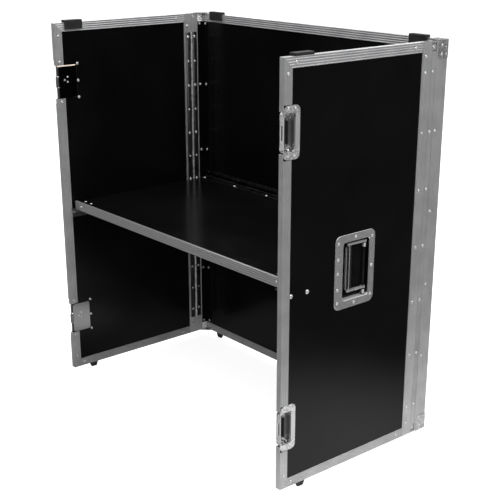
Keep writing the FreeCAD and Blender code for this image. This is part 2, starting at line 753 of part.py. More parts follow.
# latch dishes in the left wing's front edge and catch dishes in the right one's: a latch dish has a slot in
# its front wall for the hook, and a catch dish is open there between its rounded corners
dish_face = panel_out + size.dish_sheet
dish_floor = inner + size.dish_sheet
mouth = (dish_face - dish_floor, size.latch_pan_height - size.pan_corner * 2)
for sign, side in side_names.items():
    for name, height in latch_heights.items():
        kind = "latch" if sign < 0 else "catch"
        label = f"{name}_{kind}_dish"
        pan_y = (pan_front[sign], pan_rear[sign])
        pan_z = around(height, size.latch_pan_height)
        body = pressed_dish(label, sign, (pan_front[sign], flange_rear[sign]),
                            around(height, size.latch_flange_height), size.dish_corner,
                            pan_y, pan_z, size.pan_corner, (dish_face, dish_floor, inner))
        slot_depth, slot_height = (size.dish_slot_depth, size.dish_slot_height) if sign < 0 else mouth
        slot_x = mirrored(sign, (dish_floor, dish_floor + slot_depth))
        slot = rectangle((pan_front[sign] - size.overrun, pan_front[sign] + size.dish_sheet + size.overrun),
                         around(height, slot_height))
        pocket(body, draw(body, label + "_slot", "YZ_Plane", slot, level=slot_x[0]), slot_depth)
        if sign < 0:
            key_y = (pan_y[0] + pan_y[1]) / 2
            pivot = draw(body, label + "_pivot", "YZ_Plane",
                         circles=[(key_y, height, size.pivot_radius)], level=-dish_floor)
            stack = size.hook_thickness + size.latch_play * 2 + size.drum_thickness
            pivot_length = stack - size.pivot_cap - size.latch_play
            feature = body.newObject("PartDesign::Pad", label + "_pivot_pad")
            feature.Profile = pivot
            feature.Reversed = True
            feature.setExpression("Length", pivot_length.formula)
        keep(body, label)

# each latch: a hook that slides on the dish floor, a drum over it and two wings that fold out to turn it
key_y = (pan_front[-1] + pan_rear[-1]) / 2
hook_base = -(dish_floor + size.latch_play)
drum_base = hook_base - size.hook_thickness - size.latch_play
drum_face = drum_base - size.drum_thickness
key_axis_x = drum_face - size.key_rise
for name, height in latch_heights.items():
    label = f"{name}_latch_hook"
    hook_y = (front + size.hook_tip_inset, front + size.hook_tail)
    hook_z = around(height, size.hook_width)
    body = new_body(label)
    plate_level = hook_base - size.hook_thickness
    pad(body, draw(body, label + "_plate", "YZ_Plane", rectangle(hook_y, hook_z), level=plate_level),
        size.hook_thickness)
    lip = rectangle((hook_y[0], hook_y[0] + size.hook_lip), hook_z)
    pad(body, draw(body, label + "_lip", "YZ_Plane", lip, level=plate_level - size.hook_lip_rise),
        size.hook_lip_rise + size.hook_thickness)
    clear = size.pivot_radius + size.latch_play
    slot = rectangle((key_y - clear, key_y + clear + size.hook_travel), around(height, clear * 2))
    pocket(body, draw(body, label + "_slot", "YZ_Plane", slot, level=plate_level - size.overrun),
           size.hook_thickness + size.overrun * 2)
    keep(body, label)

    label = f"{name}_latch_drum"
    body = new_body(label)
    pad(body, draw(body, label + "_disc", "YZ_Plane", circles=[(key_y, height, size.drum_radius)],
                   level=drum_face), size.drum_thickness)
    ear_height = size.key_rise + size.ear_crown
    ear_start = size.key_neck_width / 2 + size.ear_gap
    for direction, end_name in ((1, "top"), (-1, "bottom")):
        ear_low = height + ear_start * direction
        ear_z = (ear_low, ear_low + size.ear_thickness * direction)
        ear = rectangle(around(key_y, size.ear_reach * 2), ear_z if direction > 0 else ear_z[::-1])
        pad(body, draw(body, f"{label}_{end_name}_ear", "YZ_Plane", ear, level=drum_face - ear_height),
            ear_height)
    bore = draw(body, label + "_bore", "YZ_Plane",
                circles=[(key_y, height, size.pivot_radius + size.pivot_gap)],
                level=drum_face + size.pivot_cap)
    pocket(body, bore, size.drum_thickness - size.pivot_cap + size.overrun)
    pin_length = (ear_start + size.ear_thickness) * 2
    pins = [(key_axis_x, key_y + size.key_pin_spacing / 2 * direction, size.key_pin) for direction in (-1, 1)]
    pad(body, draw(body, label + "_pins", "XY_Plane", circles=pins, level=height - pin_length / 2),
        pin_length)
    keep(body, label)

    for direction, end_name in ((-1, "front"), (1, "rear")):
        label = f"{name}_latch_{end_name}_wing"
        axis_y = key_y + size.key_pin_spacing / 2 * direction
        neck_y = key_y + (size.key_pin_spacing / 2 + size.key_neck_length) * direction
        tip_y = key_y + size.key_span / 2 * direction
        neck = size.key_neck_width / 2
        wide = size.key_width / 2
        outline = [(axis_y, height - neck), (neck_y, height - neck), (neck_y, height - wide),
                   (tip_y, height - wide, size.key_corner), (tip_y, height + wide, size.key_corner),
                   (neck_y, height + wide), (neck_y, height + neck), (axis_y, height + neck)]
        body = new_body(label)
        pad(body, draw(body, label + "_blade", "YZ_Plane", outline,
                       level=key_axis_x - size.key_thickness / 2), size.key_thickness)
        barrel = draw(body, label + "_barrel", "XY_Plane", ring(key_axis_x, axis_y, size.key_barrel),
                      level=height - neck)
        pad(body, barrel, size.key_neck_width)
        bore = draw(body, label + "_bore", "XY_Plane",
                    ring(key_axis_x, axis_y, size.key_pin + size.pivot_gap),
                    level=height - neck - size.overrun)
        pocket(body, bore, size.key_neck_width + size.overrun * 2)
        keep(body, label)

# folded strike plates in the catch dishes, which the hooks pull against, each with a slotted wall that
# closes its dish's mouth
strikes = []
for name, height in latch_heights.items():
    start = front + size.catch_front + size.dish_sheet
    label = f"{name}_strike"
    slot_x = (dish_floor + size.strike_thickness, dish_floor + size.dish_slot_depth)
    slot_y = (pan_front[1] - size.overrun, start + size.overrun)
    wall = cut(label + "_wall",
               block(label + "_wall_sheet", (dish_floor, dish_face), (pan_front[1], start),
                     around(height, mouth[1])),
               block(label + "_wall_slot", slot_x, slot_y, around(height, size.dish_slot_height)))
    plate = block(label + "_plate", (dish_floor, dish_floor + size.strike_thickness),
                  (pan_front[1], start + size.strike_depth), around(height, size.strike_height))
    hump = block(label + "_hump", (dish_floor, dish_floor + size.dish_slot_depth),
                 (start + size.strike_depth - size.strike_thickness, start + size.strike_depth),
                 around(height, size.strike_height))
    strikes.append(fuse(label, wall, plate, hump))
gather("catch_strikes", *strikes)

# sprung lifting handle in the right wing: pressed dish, floor liner, pivot rod, bail and oval grip
handle_face = panel_out + size.dish_sheet
handle_floor = handle_face - size.handle_pan_depth
handle_back = handle_floor - size.dish_sheet
pan_y = around(handle_pan_y, size.handle_pan_width)
pan_z = around(handle_z, size.handle_pan_height)
keep(pressed_dish("handle_dish", 1, around(handle_y, size.handle_flange_width),
                  around(handle_z, size.handle_flange_height), size.handle_flange_corner,
                  pan_y, pan_z, size.handle_pan_corner, (handle_face, handle_floor, handle_back)),
     "handle_dish")
rod_x = handle_floor + size.handle_pan_depth / 2
rod_y = pan_y[1] - size.dish_sheet - size.handle_rod_inset
bar_y = pan_y[0] + size.dish_sheet + size.handle_bar_inset
rod_z = (pan_z[0] + size.dish_sheet, pan_z[1] - size.dish_sheet)
keep(rod("handle_rod_bar", size.handle_rod, rod_z[1] - rod_z[0], rod_x, rod_y, rod_z[0]), "handle_rod")
body = new_body("handle_bail")
eye_bore = size.handle_rod + size.handle_fit
arm_x = around(rod_x, size.handle_arm)
eyes = {"lower": rod_z[0] + size.handle_spring_room,
        "upper": rod_z[1] - size.handle_eye_inset - size.handle_eye_length}
bar_start = eyes["lower"]
bar_length = eyes["upper"] + size.handle_eye_length - bar_start
pad(body, draw(body, "bail_bar", "XY_Plane", circles=[(rod_x, bar_y, size.handle_bar)], level=bar_start),
    bar_length)
for name, level in eyes.items():
    pad(body, draw(body, f"bail_{name}_arm", "XY_Plane", rectangle(arm_x, (bar_y, rod_y)), level=level),
        size.handle_eye_length)
    pad(body, draw(body, f"bail_{name}_eye", "XY_Plane", circles=[(rod_x, rod_y, size.handle_eye)],
                   level=level), size.handle_eye_length)
pocket(body, draw(body, "bail_bore", "XY_Plane", circles=[(rod_x, rod_y, eye_bore)],
                  level=bar_start - size.overrun), bar_length + size.overrun * 2)
keep(body, "handle_bail")
grip_start = (eyes["lower"] + eyes["upper"] + size.handle_eye_length - size.handle_grip_length) / 2
grip_round = size.handle_grip_thickness / 2 - size.handle_fit
prism("handle_grip", "XY_Plane",
      rectangle(around(rod_x, size.handle_grip_thickness), around(bar_y, size.handle_grip_width), grip_round),
      grip_start, size.handle_grip_length, [(rod_x, bar_y, size.handle_bar + size.handle_fit)])
liner_y = (pan_y[0] + size.dish_sheet + size.liner_margin, pan_y[1] - size.dish_sheet - size.liner_margin)
keep(block("liner_sheet", (handle_floor, handle_floor + size.liner_thickness), liner_y,
           around(handle_z, size.liner_length)), "handle_liner")


def biarc(start, start_way, stop, stop_way):
    """Two arcs that run smoothly from one point and direction to another."""
    chord = stop - start
    ways = start_way + stop_way
    bend = 2 * (1 - start_way.dot(stop_way))
    reach = (math.sqrt(chord.dot(ways) ** 2 + bend * chord.dot(chord)) - chord.dot(ways)) / bend
    knees = [start + start_way * reach, stop - stop_way * reach]
    joint = (knees[0] + knees[1]) / 2
    arcs = []
    for begin, knee, end in ((start, knees[0], joint), (joint, knees[1], stop)):
        middle = (begin + end) / 2
        half = (end - begin).Length / 2
        rise = (knee - middle).Length
        sagitta = half * math.tan(math.atan2(rise, half) / 2)
        arcs.append(Part.Arc(begin, middle + (knee - middle) * (sagitta / rise), end).toShape())
    return arcs


def wound_spring(label, middle, first_height):
    """A coil down round a vertical rod, with a straight leg that runs forward along the dish floor.

    The coil starts on the floor side, and each half turn is a pair of arcs. Prints the least gap between
    neighbouring turns, measured on points a full turn apart.
    """
    coil = size.spring_coil.number
    slope = -size.spring_pitch.number / (2 * math.pi)
    half_turns = SPRING_TURNS * 2

    def spot(angle):
        return FreeCAD.Vector(middle[0].number - coil * math.cos(angle),
                              middle[1].number + coil * math.sin(angle),
                              first_height.number + slope * angle)

    def heading(angle):
        return FreeCAD.Vector(coil * math.sin(angle), coil * math.cos(angle), slope).normalize()

    angles = [half * math.pi for half in range(half_turns + 1)]
    leg = Part.LineSegment(spot(0) - heading(0) * size.spring_leg.number, spot(0)).toShape()
    edges = [leg]
    for begin, end in zip(angles, angles[1:]):
        edges += biarc(spot(begin), heading(begin), spot(end), heading(end))
    path = Part.Wire(edges)
    across = FreeCAD.Vector(1, 0, 0)
    beside = heading(0).cross(across)
    turns = [2 * math.pi * i / WIRE_SIDES for i in range(WIRE_SIDES + 1)]
    section = [leg.Vertexes[0].Point
               + (across * math.cos(angle) + beside * math.sin(angle)) * size.spring_wire.number
               for angle in turns]
    shape = path.makePipeShell([Part.makePolygon(section)], True, False)
    points = path.discretize(SPRING_TURNS * SPRING_SAMPLES)
    most_of_a_turn = SPRING_SAMPLES * 3 // 4
    apart = min((a - b).Length for i, a in enumerate(points) for b in points[i + most_of_a_turn:])
    print(label, "least gap between turns, mm:", round(apart - size.spring_wire.number * 2, 2))
    spring = doc.addObject("Part::Feature", label)
    spring.Shape = shape
    return spring


# return springs on the handle's rod, one wound downwards from each eye
spring_start = size.spring_wire + size.latch_play + size.spring_pitch
gather("handle_springs", *(wound_spring(f"{name}_handle_spring", (rod_x, rod_y), level - spring_start)
                           for name, level in eyes.items()))


def rubber_pad(label, face, along, is_wing, sign):
    """An L-shaped rubber pad over a top edge, with a leg down the inner face."""
    rest_z = (top, top + size.pad_rise)
    leg_z = (top - size.pad_leg, top + size.pad_rise)
    if is_wing:
        cap = block(label + "_cap", mirrored(sign, (face, outer)), along, rest_z)
        leg = block(label + "_leg", mirrored(sign, (face - size.pad_leg_thickness, face)), along, leg_z)
    else:
        cap = block(label + "_cap", along, (face, back), rest_z)
        leg = block(label + "_leg", along, (face - size.pad_leg_thickness, face), leg_z)
    return fuse(label, cap, leg)


# rubber pads on the top edges and tapered rubber feet under the bottom edges
pads = []
feet = []
for sign, side in side_names.items():
    pads.append(rubber_pad(f"{side}_wing_pad", inner, around(front + size.pad_from_front, size.pad_length),
                           True, sign))
    pads.append(rubber_pad(f"{side}_fascia_pad", fascia_inner_plane,
                           around((outer - size.pad_from_side) * sign, size.pad_length), False, sign))
    wing_foot = ((inner + outer) / 2 * sign, front + size.foot_from_front, True)
    fascia_foot = ((outer - size.foot_from_side) * sign, (fascia_inner_plane + back) / 2, False)
    for name, (x, y, is_wing) in (("wing", wing_foot), ("fascia", fascia_foot)):
        label = f"{side}_{name}_foot"
        body = new_body(label)
        sections = []
        for level, length, width, corner in (
                (bottom, size.foot_length, size.foot_width, size.foot_corner),
                (ZERO, size.foot_base_length, size.foot_base_width, size.foot_base_corner)):
            across = around(x, width if is_wing else length)
            along = around(y, length if is_wing else width)
            sections.append(draw(body, f"{label}_section_{len(sections)}", "XY_Plane",
                                 rectangle(across, along, corner), level=level))
        loft = body.newObject("PartDesign::AdditiveLoft", label + "_loft")
        loft.Profile = sections[0]
        loft.Sections = sections[1:]
        loft.Ruled = True
        feet.append(body)
gather("top_pads", *pads)
gather("rubber_feet", *feet)

doc.recompute()
for thing in doc.Objects:
    if "Invalid" in thing.State or "Error" in thing.State:
        raise RuntimeError(f"{thing.Label} did not build: {thing.State}")
for node in nodes:
    if node.Shape.isNull() or not node.Shape.isValid():
        raise RuntimeError(f"{node.Label} has no valid shape")

os.makedirs("parts", exist_ok=True)
for node in nodes:
    node.Shape.exportStep(f"parts/{node.Label}.step")
print(len(nodes), "sub-parts written")
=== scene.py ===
import math

import bmesh
import bpy
import numpy as np
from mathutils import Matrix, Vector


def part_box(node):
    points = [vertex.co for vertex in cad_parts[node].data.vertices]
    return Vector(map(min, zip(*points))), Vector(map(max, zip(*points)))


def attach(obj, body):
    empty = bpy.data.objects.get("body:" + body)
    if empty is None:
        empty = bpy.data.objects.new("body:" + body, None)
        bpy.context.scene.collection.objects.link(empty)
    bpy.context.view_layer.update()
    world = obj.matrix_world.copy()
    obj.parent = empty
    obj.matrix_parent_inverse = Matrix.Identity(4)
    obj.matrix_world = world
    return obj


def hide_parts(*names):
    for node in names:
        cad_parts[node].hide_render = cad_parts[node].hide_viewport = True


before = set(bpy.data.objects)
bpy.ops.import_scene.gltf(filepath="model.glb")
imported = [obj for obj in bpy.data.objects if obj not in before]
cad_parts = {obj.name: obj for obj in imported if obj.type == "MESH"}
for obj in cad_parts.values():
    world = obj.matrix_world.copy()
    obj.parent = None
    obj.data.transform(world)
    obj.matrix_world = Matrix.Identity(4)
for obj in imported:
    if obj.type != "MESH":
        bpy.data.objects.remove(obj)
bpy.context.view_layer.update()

# Boards: the fascia, its two shallow returns, the two wings and the shelf are plywood faced on both sides
# with black resin laminate. They are sawn to size, so the plies show on every cut edge left open by the
# channels that hold them.
LAMINATE_BLACK = (0.0020, 0.0020, 0.0021, 1)
LAMINATE_WORN = (0.0034, 0.0034, 0.0035, 1)
PLY_LIGHT = (0.075, 0.050, 0.030, 1)
PLY_DARK = (0.034, 0.020, 0.012, 1)
PLY_ROUGH = 0.75
PLIES = 5
BOARDS = {"fascia_panel": 1, "left_return_board": 0, "right_return_board": 0, "left_wing_panel": 0,
          "right_wing_panel": 0, "shelf_board": 2}


def shader_node(finish, kind, output, inputs=None, **settings):
    """One output of a new shader node with its settings. Each input is a value or another node's socket."""
    made = finish.node_tree.nodes.new("ShaderNode" + kind)
    for name, value in settings.items():
        setattr(made, name, value)
    for name, value in (inputs or {}).items():
        if isinstance(value, bpy.types.NodeSocket):
            finish.node_tree.links.new(value, made.inputs[name])
        else:
            made.inputs[name].default_value = value
    return made.outputs[output]


def new_finish(name, **sockets):
    """A node material with values set on its one principled shader."""
    finish = bpy.data.materials.new(name)
    finish.use_nodes = True
    for socket, value in sockets.items():
        finish.node_tree.nodes["Principled BSDF"].inputs[socket.replace("_", " ")].default_value = value
    return finish


def noise(finish, scale, detail, stretch=(1, 1, 1)):
    """Noise on Object coordinates, each axis first multiplied by its share of stretch."""
    place = shader_node(finish, "TexCoord", "Object")
    mapped = shader_node(finish, "Mapping", "Vector", {"Vector": place, "Scale": stretch})
    return shader_node(finish, "TexNoise", "Fac", {"Vector": mapped, "Scale": scale, "Detail": detail})


def own_part(finish, axis, coordinates="Object"):
    """The x, y or z part (axis 0, 1 or 2) of a point's Object coordinates, or of its own Normal."""
    place = shader_node(finish, "TexCoord", coordinates)
    return shader_node(finish, "SeparateXYZ", axis, {"Vector": place})


def calculated(finish, operation, first, second=0.0):
    """One step of arithmetic on sockets or numbers."""
    return shader_node(finish, "Math", "Value", {0: first, 1: second}, operation=operation)


def ranged(finish, value, low, high, start=0.3, stop=0.7, pace="LINEAR"):
    """A number that goes from low to high as value goes from start to stop."""
    spans = {"Value": value, "From Min": start, "From Max": stop, "To Min": low, "To Max": high}
    return shader_node(finish, "MapRange", "Result", spans, interpolation_type=pace)


def mixed(finish, share, first, second):
    """A number that goes from first to second with a share from 0 to 1."""
    return shader_node(finish, "Mix", "Result", {"Factor": share, "A": first, "B": second})


FIRST_COLOUR, SECOND_COLOUR, MIXED_COLOUR = 6, 7, 2


def blended(finish, share, first, second):
    """A colour that goes from first to second with a share from 0 to 1."""
    colours = {FIRST_COLOUR: first, SECOND_COLOUR: second}
    return shader_node(finish, "Mix", MIXED_COLOUR, {"Factor": share, **colours}, data_type="RGBA")


def join_socket(finish, socket, value):
    """Links a node's socket to one input of the finish's principled shader."""
    finish.node_tree.links.new(value, finish.node_tree.nodes["Principled BSDF"].inputs[socket])


def bump(finish, height, strength, distance):
    """Raises the surface by a height from 0 to 1 times distance."""
    raised = {"Height": height, "Strength": strength, "Distance": distance}
    join_socket(finish, "Normal", shader_node(finish, "Bump", "Normal", raised))


def laminated_ply(name, across, low, thickness):
    """Pebbled black laminate where the face looks along the axis across, and bare plies on the cut edges.

    Light and dark plies take turns with the sine of pi times the depth over a ply's thickness.
    """
    finish = new_finish(name, Specular_IOR_Level=0.20)
    wear = ranged(finish, noise(finish, scale=7.0, detail=4.0), 0, 1)
    black = blended(finish, wear, LAMINATE_BLACK, LAMINATE_WORN)
    facing = own_part(finish, across, "Normal")
    is_edge = ranged(finish, calculated(finish, "MULTIPLY", facing, facing), 1, 0, start=0.4, stop=0.6)
    turns = ranged(finish, own_part(finish, across), 0, PLIES * math.pi, low, low + thickness)
    ply = ranged(finish, calculated(finish, "SINE", turns), 0, 1, start=-0.3, stop=0.3)
    wood = blended(finish, ply, PLY_DARK, PLY_LIGHT)
    join_socket(finish, "Base Color", blended(finish, is_edge, black, wood))
    smear = ranged(finish, noise(finish, scale=18.0, detail=5.0), low=0.16, high=0.24)
    join_socket(finish, "Roughness", mixed(finish, is_edge, smear, PLY_ROUGH))
    bump(finish, noise(finish, scale=900.0, detail=2.0), strength=0.25, distance=0.00012)
    return finish


def paint(node_name, finish):
    """Gives a CAD node's object this finish in all of its slots."""
    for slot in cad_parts[node_name].material_slots:
        slot.material = finish


for board, across in BOARDS.items():
    low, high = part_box(board)
    paint(board, laminated_ply(f"{board}_finish", across, low[across], high[across] - low[across]))

# Edge channel: satin aluminium extrusions with fine lengthwise ribs, slipped over the boards' edges.
# The wings' rails are mitred at the front corners, and each run stops short of the latch and catch dishes.
ALUMINIUM_GREY = (0.53, 0.53, 0.535, 1)
ALUMINIUM_DULL = (0.43, 0.43, 0.44, 1)
CAP_HIGHLIGHT_GREY = (0.88, 0.88, 0.89, 1)
DRAW_SQUEEZE = 0.012
CHANNEL_WALL = 0.002
RIB_PITCH = 0.0048
RIB_DEPTH = 0.0013
RIB_SAMPLES = 10
EDGE_RADIUS = 0.0006
EDGE_SHARE = 0.4
EDGE_POINTS = 4
PLAIN_SHARES = np.array([[0.06], [0.94]])
DISH_CUT_HALF = 0.040
DISH_SEAT_HALF = 0.0525
WINDOW_WIDTH = 0.014
WINDOW_HEIGHT = 0.017
WINDOW_FROM_END = 0.004
LIP_GROOVE = 0.0016
LINING = 0.0003
LINING_GAP = 0.0014


def satin_aluminium(name, along, dull=ALUMINIUM_DULL, grey=ALUMINIUM_GREY, metallic=0.68):
    """Anodised grey with long fine draw lines: the noise is squeezed hard along one axis."""
    finish = new_finish(name, Metallic=metallic)
    squeeze = [DRAW_SQUEEZE if axis == along else 1 for axis in range(3)]
    lines = noise(finish, scale=700.0, detail=3.0, stretch=squeeze)
    cloud = ranged(finish, noise(finish, scale=22.0, detail=4.0), 0, 1)
    join_socket(finish, "Base Color", blended(finish, cloud, dull, grey))
    join_socket(finish, "Roughness", ranged(finish, lines, low=0.38, high=0.50))
    bump(finish, lines, strength=0.30, distance=0.00008)
    return finish


aluminium = {axis: satin_aluminium(f"satin_aluminium_{'xyz'[axis]}", axis) for axis in range(3)}


def turn_sign(outline):
    """1 for an outline that runs anticlockwise, -1 for one that runs clockwise: the sign of its area."""
    onward = np.roll(outline, -1, 0)
    return np.sign(np.sum(outline[:, 0] * onward[:, 1] - onward[:, 0] * outline[:, 1]))


def ribbed_outline(corners, ribbed, radius=EDGE_RADIUS):
    """The outline of an extruded section from its corners, with every corner rounded.

    A corner is the curve (1-s)^2 A + 2s(1-s) P + s^2 B between points A and B one radius from it. Along a
    ribbed side the point moves inwards by the rib depth times ((1 - cos(2 pi n s)) / 2)^2, for n ribs.
    """
    corners = np.asarray(corners, float)
    steps = np.roll(corners, -1, 0) - corners
    lengths = np.linalg.norm(steps, axis=1)
    ways = steps / lengths[:, None]
    radii = np.minimum(radius, EDGE_SHARE * np.minimum(lengths, np.roll(lengths, 1)))
    bend = np.linspace(0, 1, EDGE_POINTS)[:, None]
    loop = []
    for i, corner in enumerate(corners):
        start = corner - ways[i - 1] * radii[i]
        stop = corner + ways[i] * radii[i]
        loop.append((1 - bend) ** 2 * start + 2 * bend * (1 - bend) * corner + bend ** 2 * stop)
        run = lengths[i] - radii[i] - radii[(i + 1) % len(corners)]
        share, depth = PLAIN_SHARES, 0.0
        if ribbed[i]:
            ribs = max(1, round(run / RIB_PITCH))
            share = np.linspace(0, 1, ribs * RIB_SAMPLES + 1)[1:-1, None]
            depth = RIB_DEPTH * ((1 - np.cos(2 * np.pi * ribs * share)) / 2) ** 2
        inwards = np.array([-ways[i][1], ways[i][0]]) * turn_sign(corners)
        loop.append(stop + ways[i] * run * share + inwards * depth)
    return np.concatenate(loop)


def oblong(first, second):
    """The four corners of a rectangle from its low-high pairs along two axes."""
    return [(first[0], second[0]), (first[1], second[0]), (first[1], second[1]), (first[0], second[1])]


def angle_section(corner, ends, ribbed=(True, True)):
    """The outline of an angle from its outer corner and the ends of its two legs, either of them ribbed."""
    (first, second), (first_end, second_end) = corner, ends
    first_in = first + math.copysign(CHANNEL_WALL, first_end - first)
    second_in = second + math.copysign(CHANNEL_WALL, second_end - second)
    corners = [(first, second), (first_end, second), (first_end, second_in), (first_in, second_in),
               (first_in, second_end), (first, second_end)]
    return ribbed_outline(corners, [ribbed[0]] + [False] * 4 + [ribbed[1]])


def rail_sections(low, high, way):
    """The outlines of a channel rail, and of what is left of it where its far leg is cut away.

    The rail's back is at the high end of the second coordinate, or at the low end if way is -1.
    """
    near, far = low[0], high[0]
    mouth, back = sorted((low[1] * way, high[1] * way))
    near_in, far_in, back_in = near + CHANNEL_WALL, far - CHANNEL_WALL, back - CHANNEL_WALL
    shared = [(near, mouth), (near_in, mouth), (near_in, back_in), (far_in, back_in)]
    whole = shared + [(far_in, mouth), (far, mouth), (far, back), (near, back)]
    cut = shared + [(far_in, back), (near, back)]
    return (ribbed_outline(whole, [False] * 5 + [True] * 3) * (1, way),
            ribbed_outline(cut, [False] * 4 + [True] * 2) * (1, way))


def tube_faces(rings, sides):
    """The faces of a closed tube: four-cornered ones between neighbouring rings, then a cap at each end."""
    ring, side = np.meshgrid(np.arange(rings - 1), np.arange(sides), indexing="ij")
    onward = (side + 1) % sides
    quads = np.stack([ring * sides + side, ring * sides + onward, (ring + 1) * sides + onward,
                      (ring + 1) * sides + side], -1).reshape(-1, 4)
    cap = np.arange(sides)
    return quads.tolist() + [cap[::-1].tolist(), (cap + (rings - 1) * sides).tolist()]


def turned_over(faces):
    """The same faces, each looking the other way."""
    return [face[::-1] for face in faces]


def extruded(outline, axis, start, stop):
    """A section carried straight along axis: start and stop are numbers, or one for each outline point.

    The section's two coordinates follow the axis in the order x, y, z, and faces are made to look outwards.
    """
    places = np.empty((2, len(outline), 3))
    places[0, :, axis] = start
    places[1, :, axis] = stop
    places[:, :, (axis + 1) % 3] = outline[:, 0]
    places[:, :, (axis + 2) % 3] = outline[:, 1]
    faces = tube_faces(2, len(outline))
    return places.reshape(-1, 3), turned_over(faces) if turn_sign(outline) < 0 else faces


def mirrored(part):
    """The same part on the other side of the booth: x changes sign, and faces run the other way round."""
    points, faces = part
    return points * (-1, 1, 1), turned_over(faces)


def with_mirrored(parts):
    """Right-hand parts, followed by the same on the left."""
    return parts + [mirrored(part) for part in parts]


def new_object(name, data):
    """An object in the scene, at the origin, that shows a mesh, a light or a camera."""
    made = bpy.data.objects.new(name, data)
    bpy.context.scene.collection.objects.link(made)
    return made


def piece(name, parts, finish, body="booth_frame", nodes=()):
    """One object out of (points, faces) parts, smooth but for flat caps of more than four corners."""
    faces = []
    first = 0
    for points, part_faces in parts:
        faces += [[corner + first for corner in face] for face in part_faces]
        first += len(points)
    mesh = bpy.data.meshes.new(name)
    mesh.from_pydata(np.concatenate([points for points, _ in parts]).tolist(), [], faces)
    sides = np.array([len(face) for face in faces])
    is_cap = sides > 4
    mesh.polygons.foreach_set("use_smooth", ~is_cap)
    rims = np.empty(len(mesh.loops), int)
    mesh.loops.foreach_get("edge_index", rims)
    is_sharp = np.zeros(len(mesh.edges), bool)
    is_sharp[rims[np.repeat(is_cap, sides)]] = True
    mesh.edges.foreach_set("use_edge_sharp", is_sharp)
    mesh.materials.append(finish)
    made = new_object(name, mesh)
    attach(made, body)
    if nodes:
        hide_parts(*nodes)


def both_sides(label, parts, axis):
    """A right-hand aluminium piece and its mirror image on the left, each for its own node."""
    for side, own in (("right", parts), ("left", [mirrored(part) for part in parts])):
        piece(f"{side}_{label}_extrusion", own, aluminium[axis],
              nodes=[f"{side}_{label}"])


def middle(node_name):
    """The middle of a node's box."""
    low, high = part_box(node_name)
    return (low + high) / 2


corner_low, corner_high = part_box("right_corner_angle")
for end_name, up in (("top", 1), ("bottom", -1)):
    low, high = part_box(f"fascia_{end_name}_rail")
    whole, cut = rail_sections((low.y, low.z), (high.y, high.z), up)
    parts = [extruded(whole, 0, -corner_low.x, corner_low.x), extruded(cut, 0, corner_low.x, high.x),
             extruded(cut, 0, low.x, -corner_low.x)]
    piece(f"fascia_{end_name}_extrusion", parts, aluminium[0],
          nodes=[f"fascia_{end_name}_rail"])

edge_low, edge_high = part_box("right_return_edge")
section = angle_section((edge_low.x, edge_low.y), (edge_high.x, edge_high.y), (False, True))
both_sides("return_edge", [extruded(section, 2, edge_low.z, edge_high.z)], 2)
section = angle_section((corner_high.x, corner_high.y), (corner_low.x, corner_low.y))
both_sides("corner_angle", [extruded(section, 2, corner_low.z, corner_high.z)], 2)

cap_low, cap_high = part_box("return_caps")
rail_low, rail_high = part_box("fascia_top_rail")
rail_face = rail_high.z - rail_low.z
caps = []
for up, edge in ((1, cap_high.z), (-1, cap_low.z)):
    section = angle_section((edge, edge_low.x), (edge - rail_face * up, cap_high.x))
    caps.append(extruded(section, 1, cap_low.y, cap_high.y))
# Painted highlight: the return caps are a near-white, barely metallic copy of the satin aluminium.
piece("return_cap_extrusions", with_mirrored(caps),
      satin_aluminium("caps_painted_highlight", 1, CAP_HIGHLIGHT_GREY, CAP_HIGHLIGHT_GREY, metallic=0.1),
      nodes=["return_caps"])

hinge_low, hinge_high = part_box("right_wing_hinge_profile")
wing_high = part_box("right_wing_top_rail")[1]
front_low, front_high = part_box("right_wing_front_rail")
floor_edge, head_edge = front_low.z, front_high.z
for end_name, up, edge in (("top", 1, head_edge), ("bottom", -1, floor_edge)):
    low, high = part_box(f"right_wing_{end_name}_rail")
    whole, cut = rail_sections((low.x, low.z), (high.x, high.z), up)
    mitre = low.y + np.abs(edge - whole[:, 1])
    both_sides(f"wing_{end_name}_rail", [extruded(whole[:, ::-1], 1, mitre, hinge_low.y),
                                         extruded(cut[:, ::-1], 1, hinge_low.y, high.y)], 1)

latch_heights = [middle(f"{name}_catch_dish").z for name in ("upper", "lower")]
upper, lower = latch_heights
whole, cut = rail_sections((front_low.x, front_low.y), (front_high.x, front_high.y), -1)
mitre = whole[:, 1] - front_low.y
runs = []
start = floor_edge + mitre
for height in (lower, upper):
    runs += [extruded(whole, 2, start, height - DISH_SEAT_HALF),
             extruded(cut, 2, height - DISH_SEAT_HALF, height - DISH_CUT_HALF),
             extruded(cut, 2, height + DISH_CUT_HALF, height + DISH_SEAT_HALF)]
    start = height + DISH_SEAT_HALF
both_sides("wing_front_rail", runs + [extruded(whole, 2, start, head_edge - mitre)], 2)

panel_low, panel_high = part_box("right_wing_panel")
seam = panel_high.y + CHANNEL_WALL
lip_start = hinge_high.y - WINDOW_WIDTH
strip = [(hinge_high.x, hinge_low.y), (hinge_high.x, lip_start)]
lip = [(hinge_high.x - RIB_DEPTH, lip_start), (hinge_high.x - RIB_DEPTH, lip_start + LIP_GROOVE),
       (hinge_high.x, lip_start + LIP_GROOVE), (hinge_high.x, hinge_high.y), (panel_high.x, hinge_high.y),
       (panel_high.x, seam)]
web = [(hinge_low.x, seam), (hinge_low.x, wing_high.y), (panel_low.x, wing_high.y),
       (panel_low.x, panel_high.y), (panel_high.x, panel_high.y), (panel_high.x, hinge_low.y)]
web_ribs = [True] + [False] * 5
whole = ribbed_outline(strip + lip + web, [True] + [False] * 7 + web_ribs)
cut = ribbed_outline(strip + [(panel_high.x, lip_start)] + web, [True, False, False] + web_ribs)
window = (WINDOW_FROM_END, WINDOW_FROM_END + WINDOW_HEIGHT)
stops = [hinge_low.z, hinge_low.z + window[0], hinge_low.z + window[1], hinge_high.z - window[1],
         hinge_high.z - window[0], hinge_high.z]
both_sides("wing_hinge_profile", [extruded(cut if run % 2 else whole, 2, stops[run], stops[run + 1])
                                  for run in range(5)], 2)
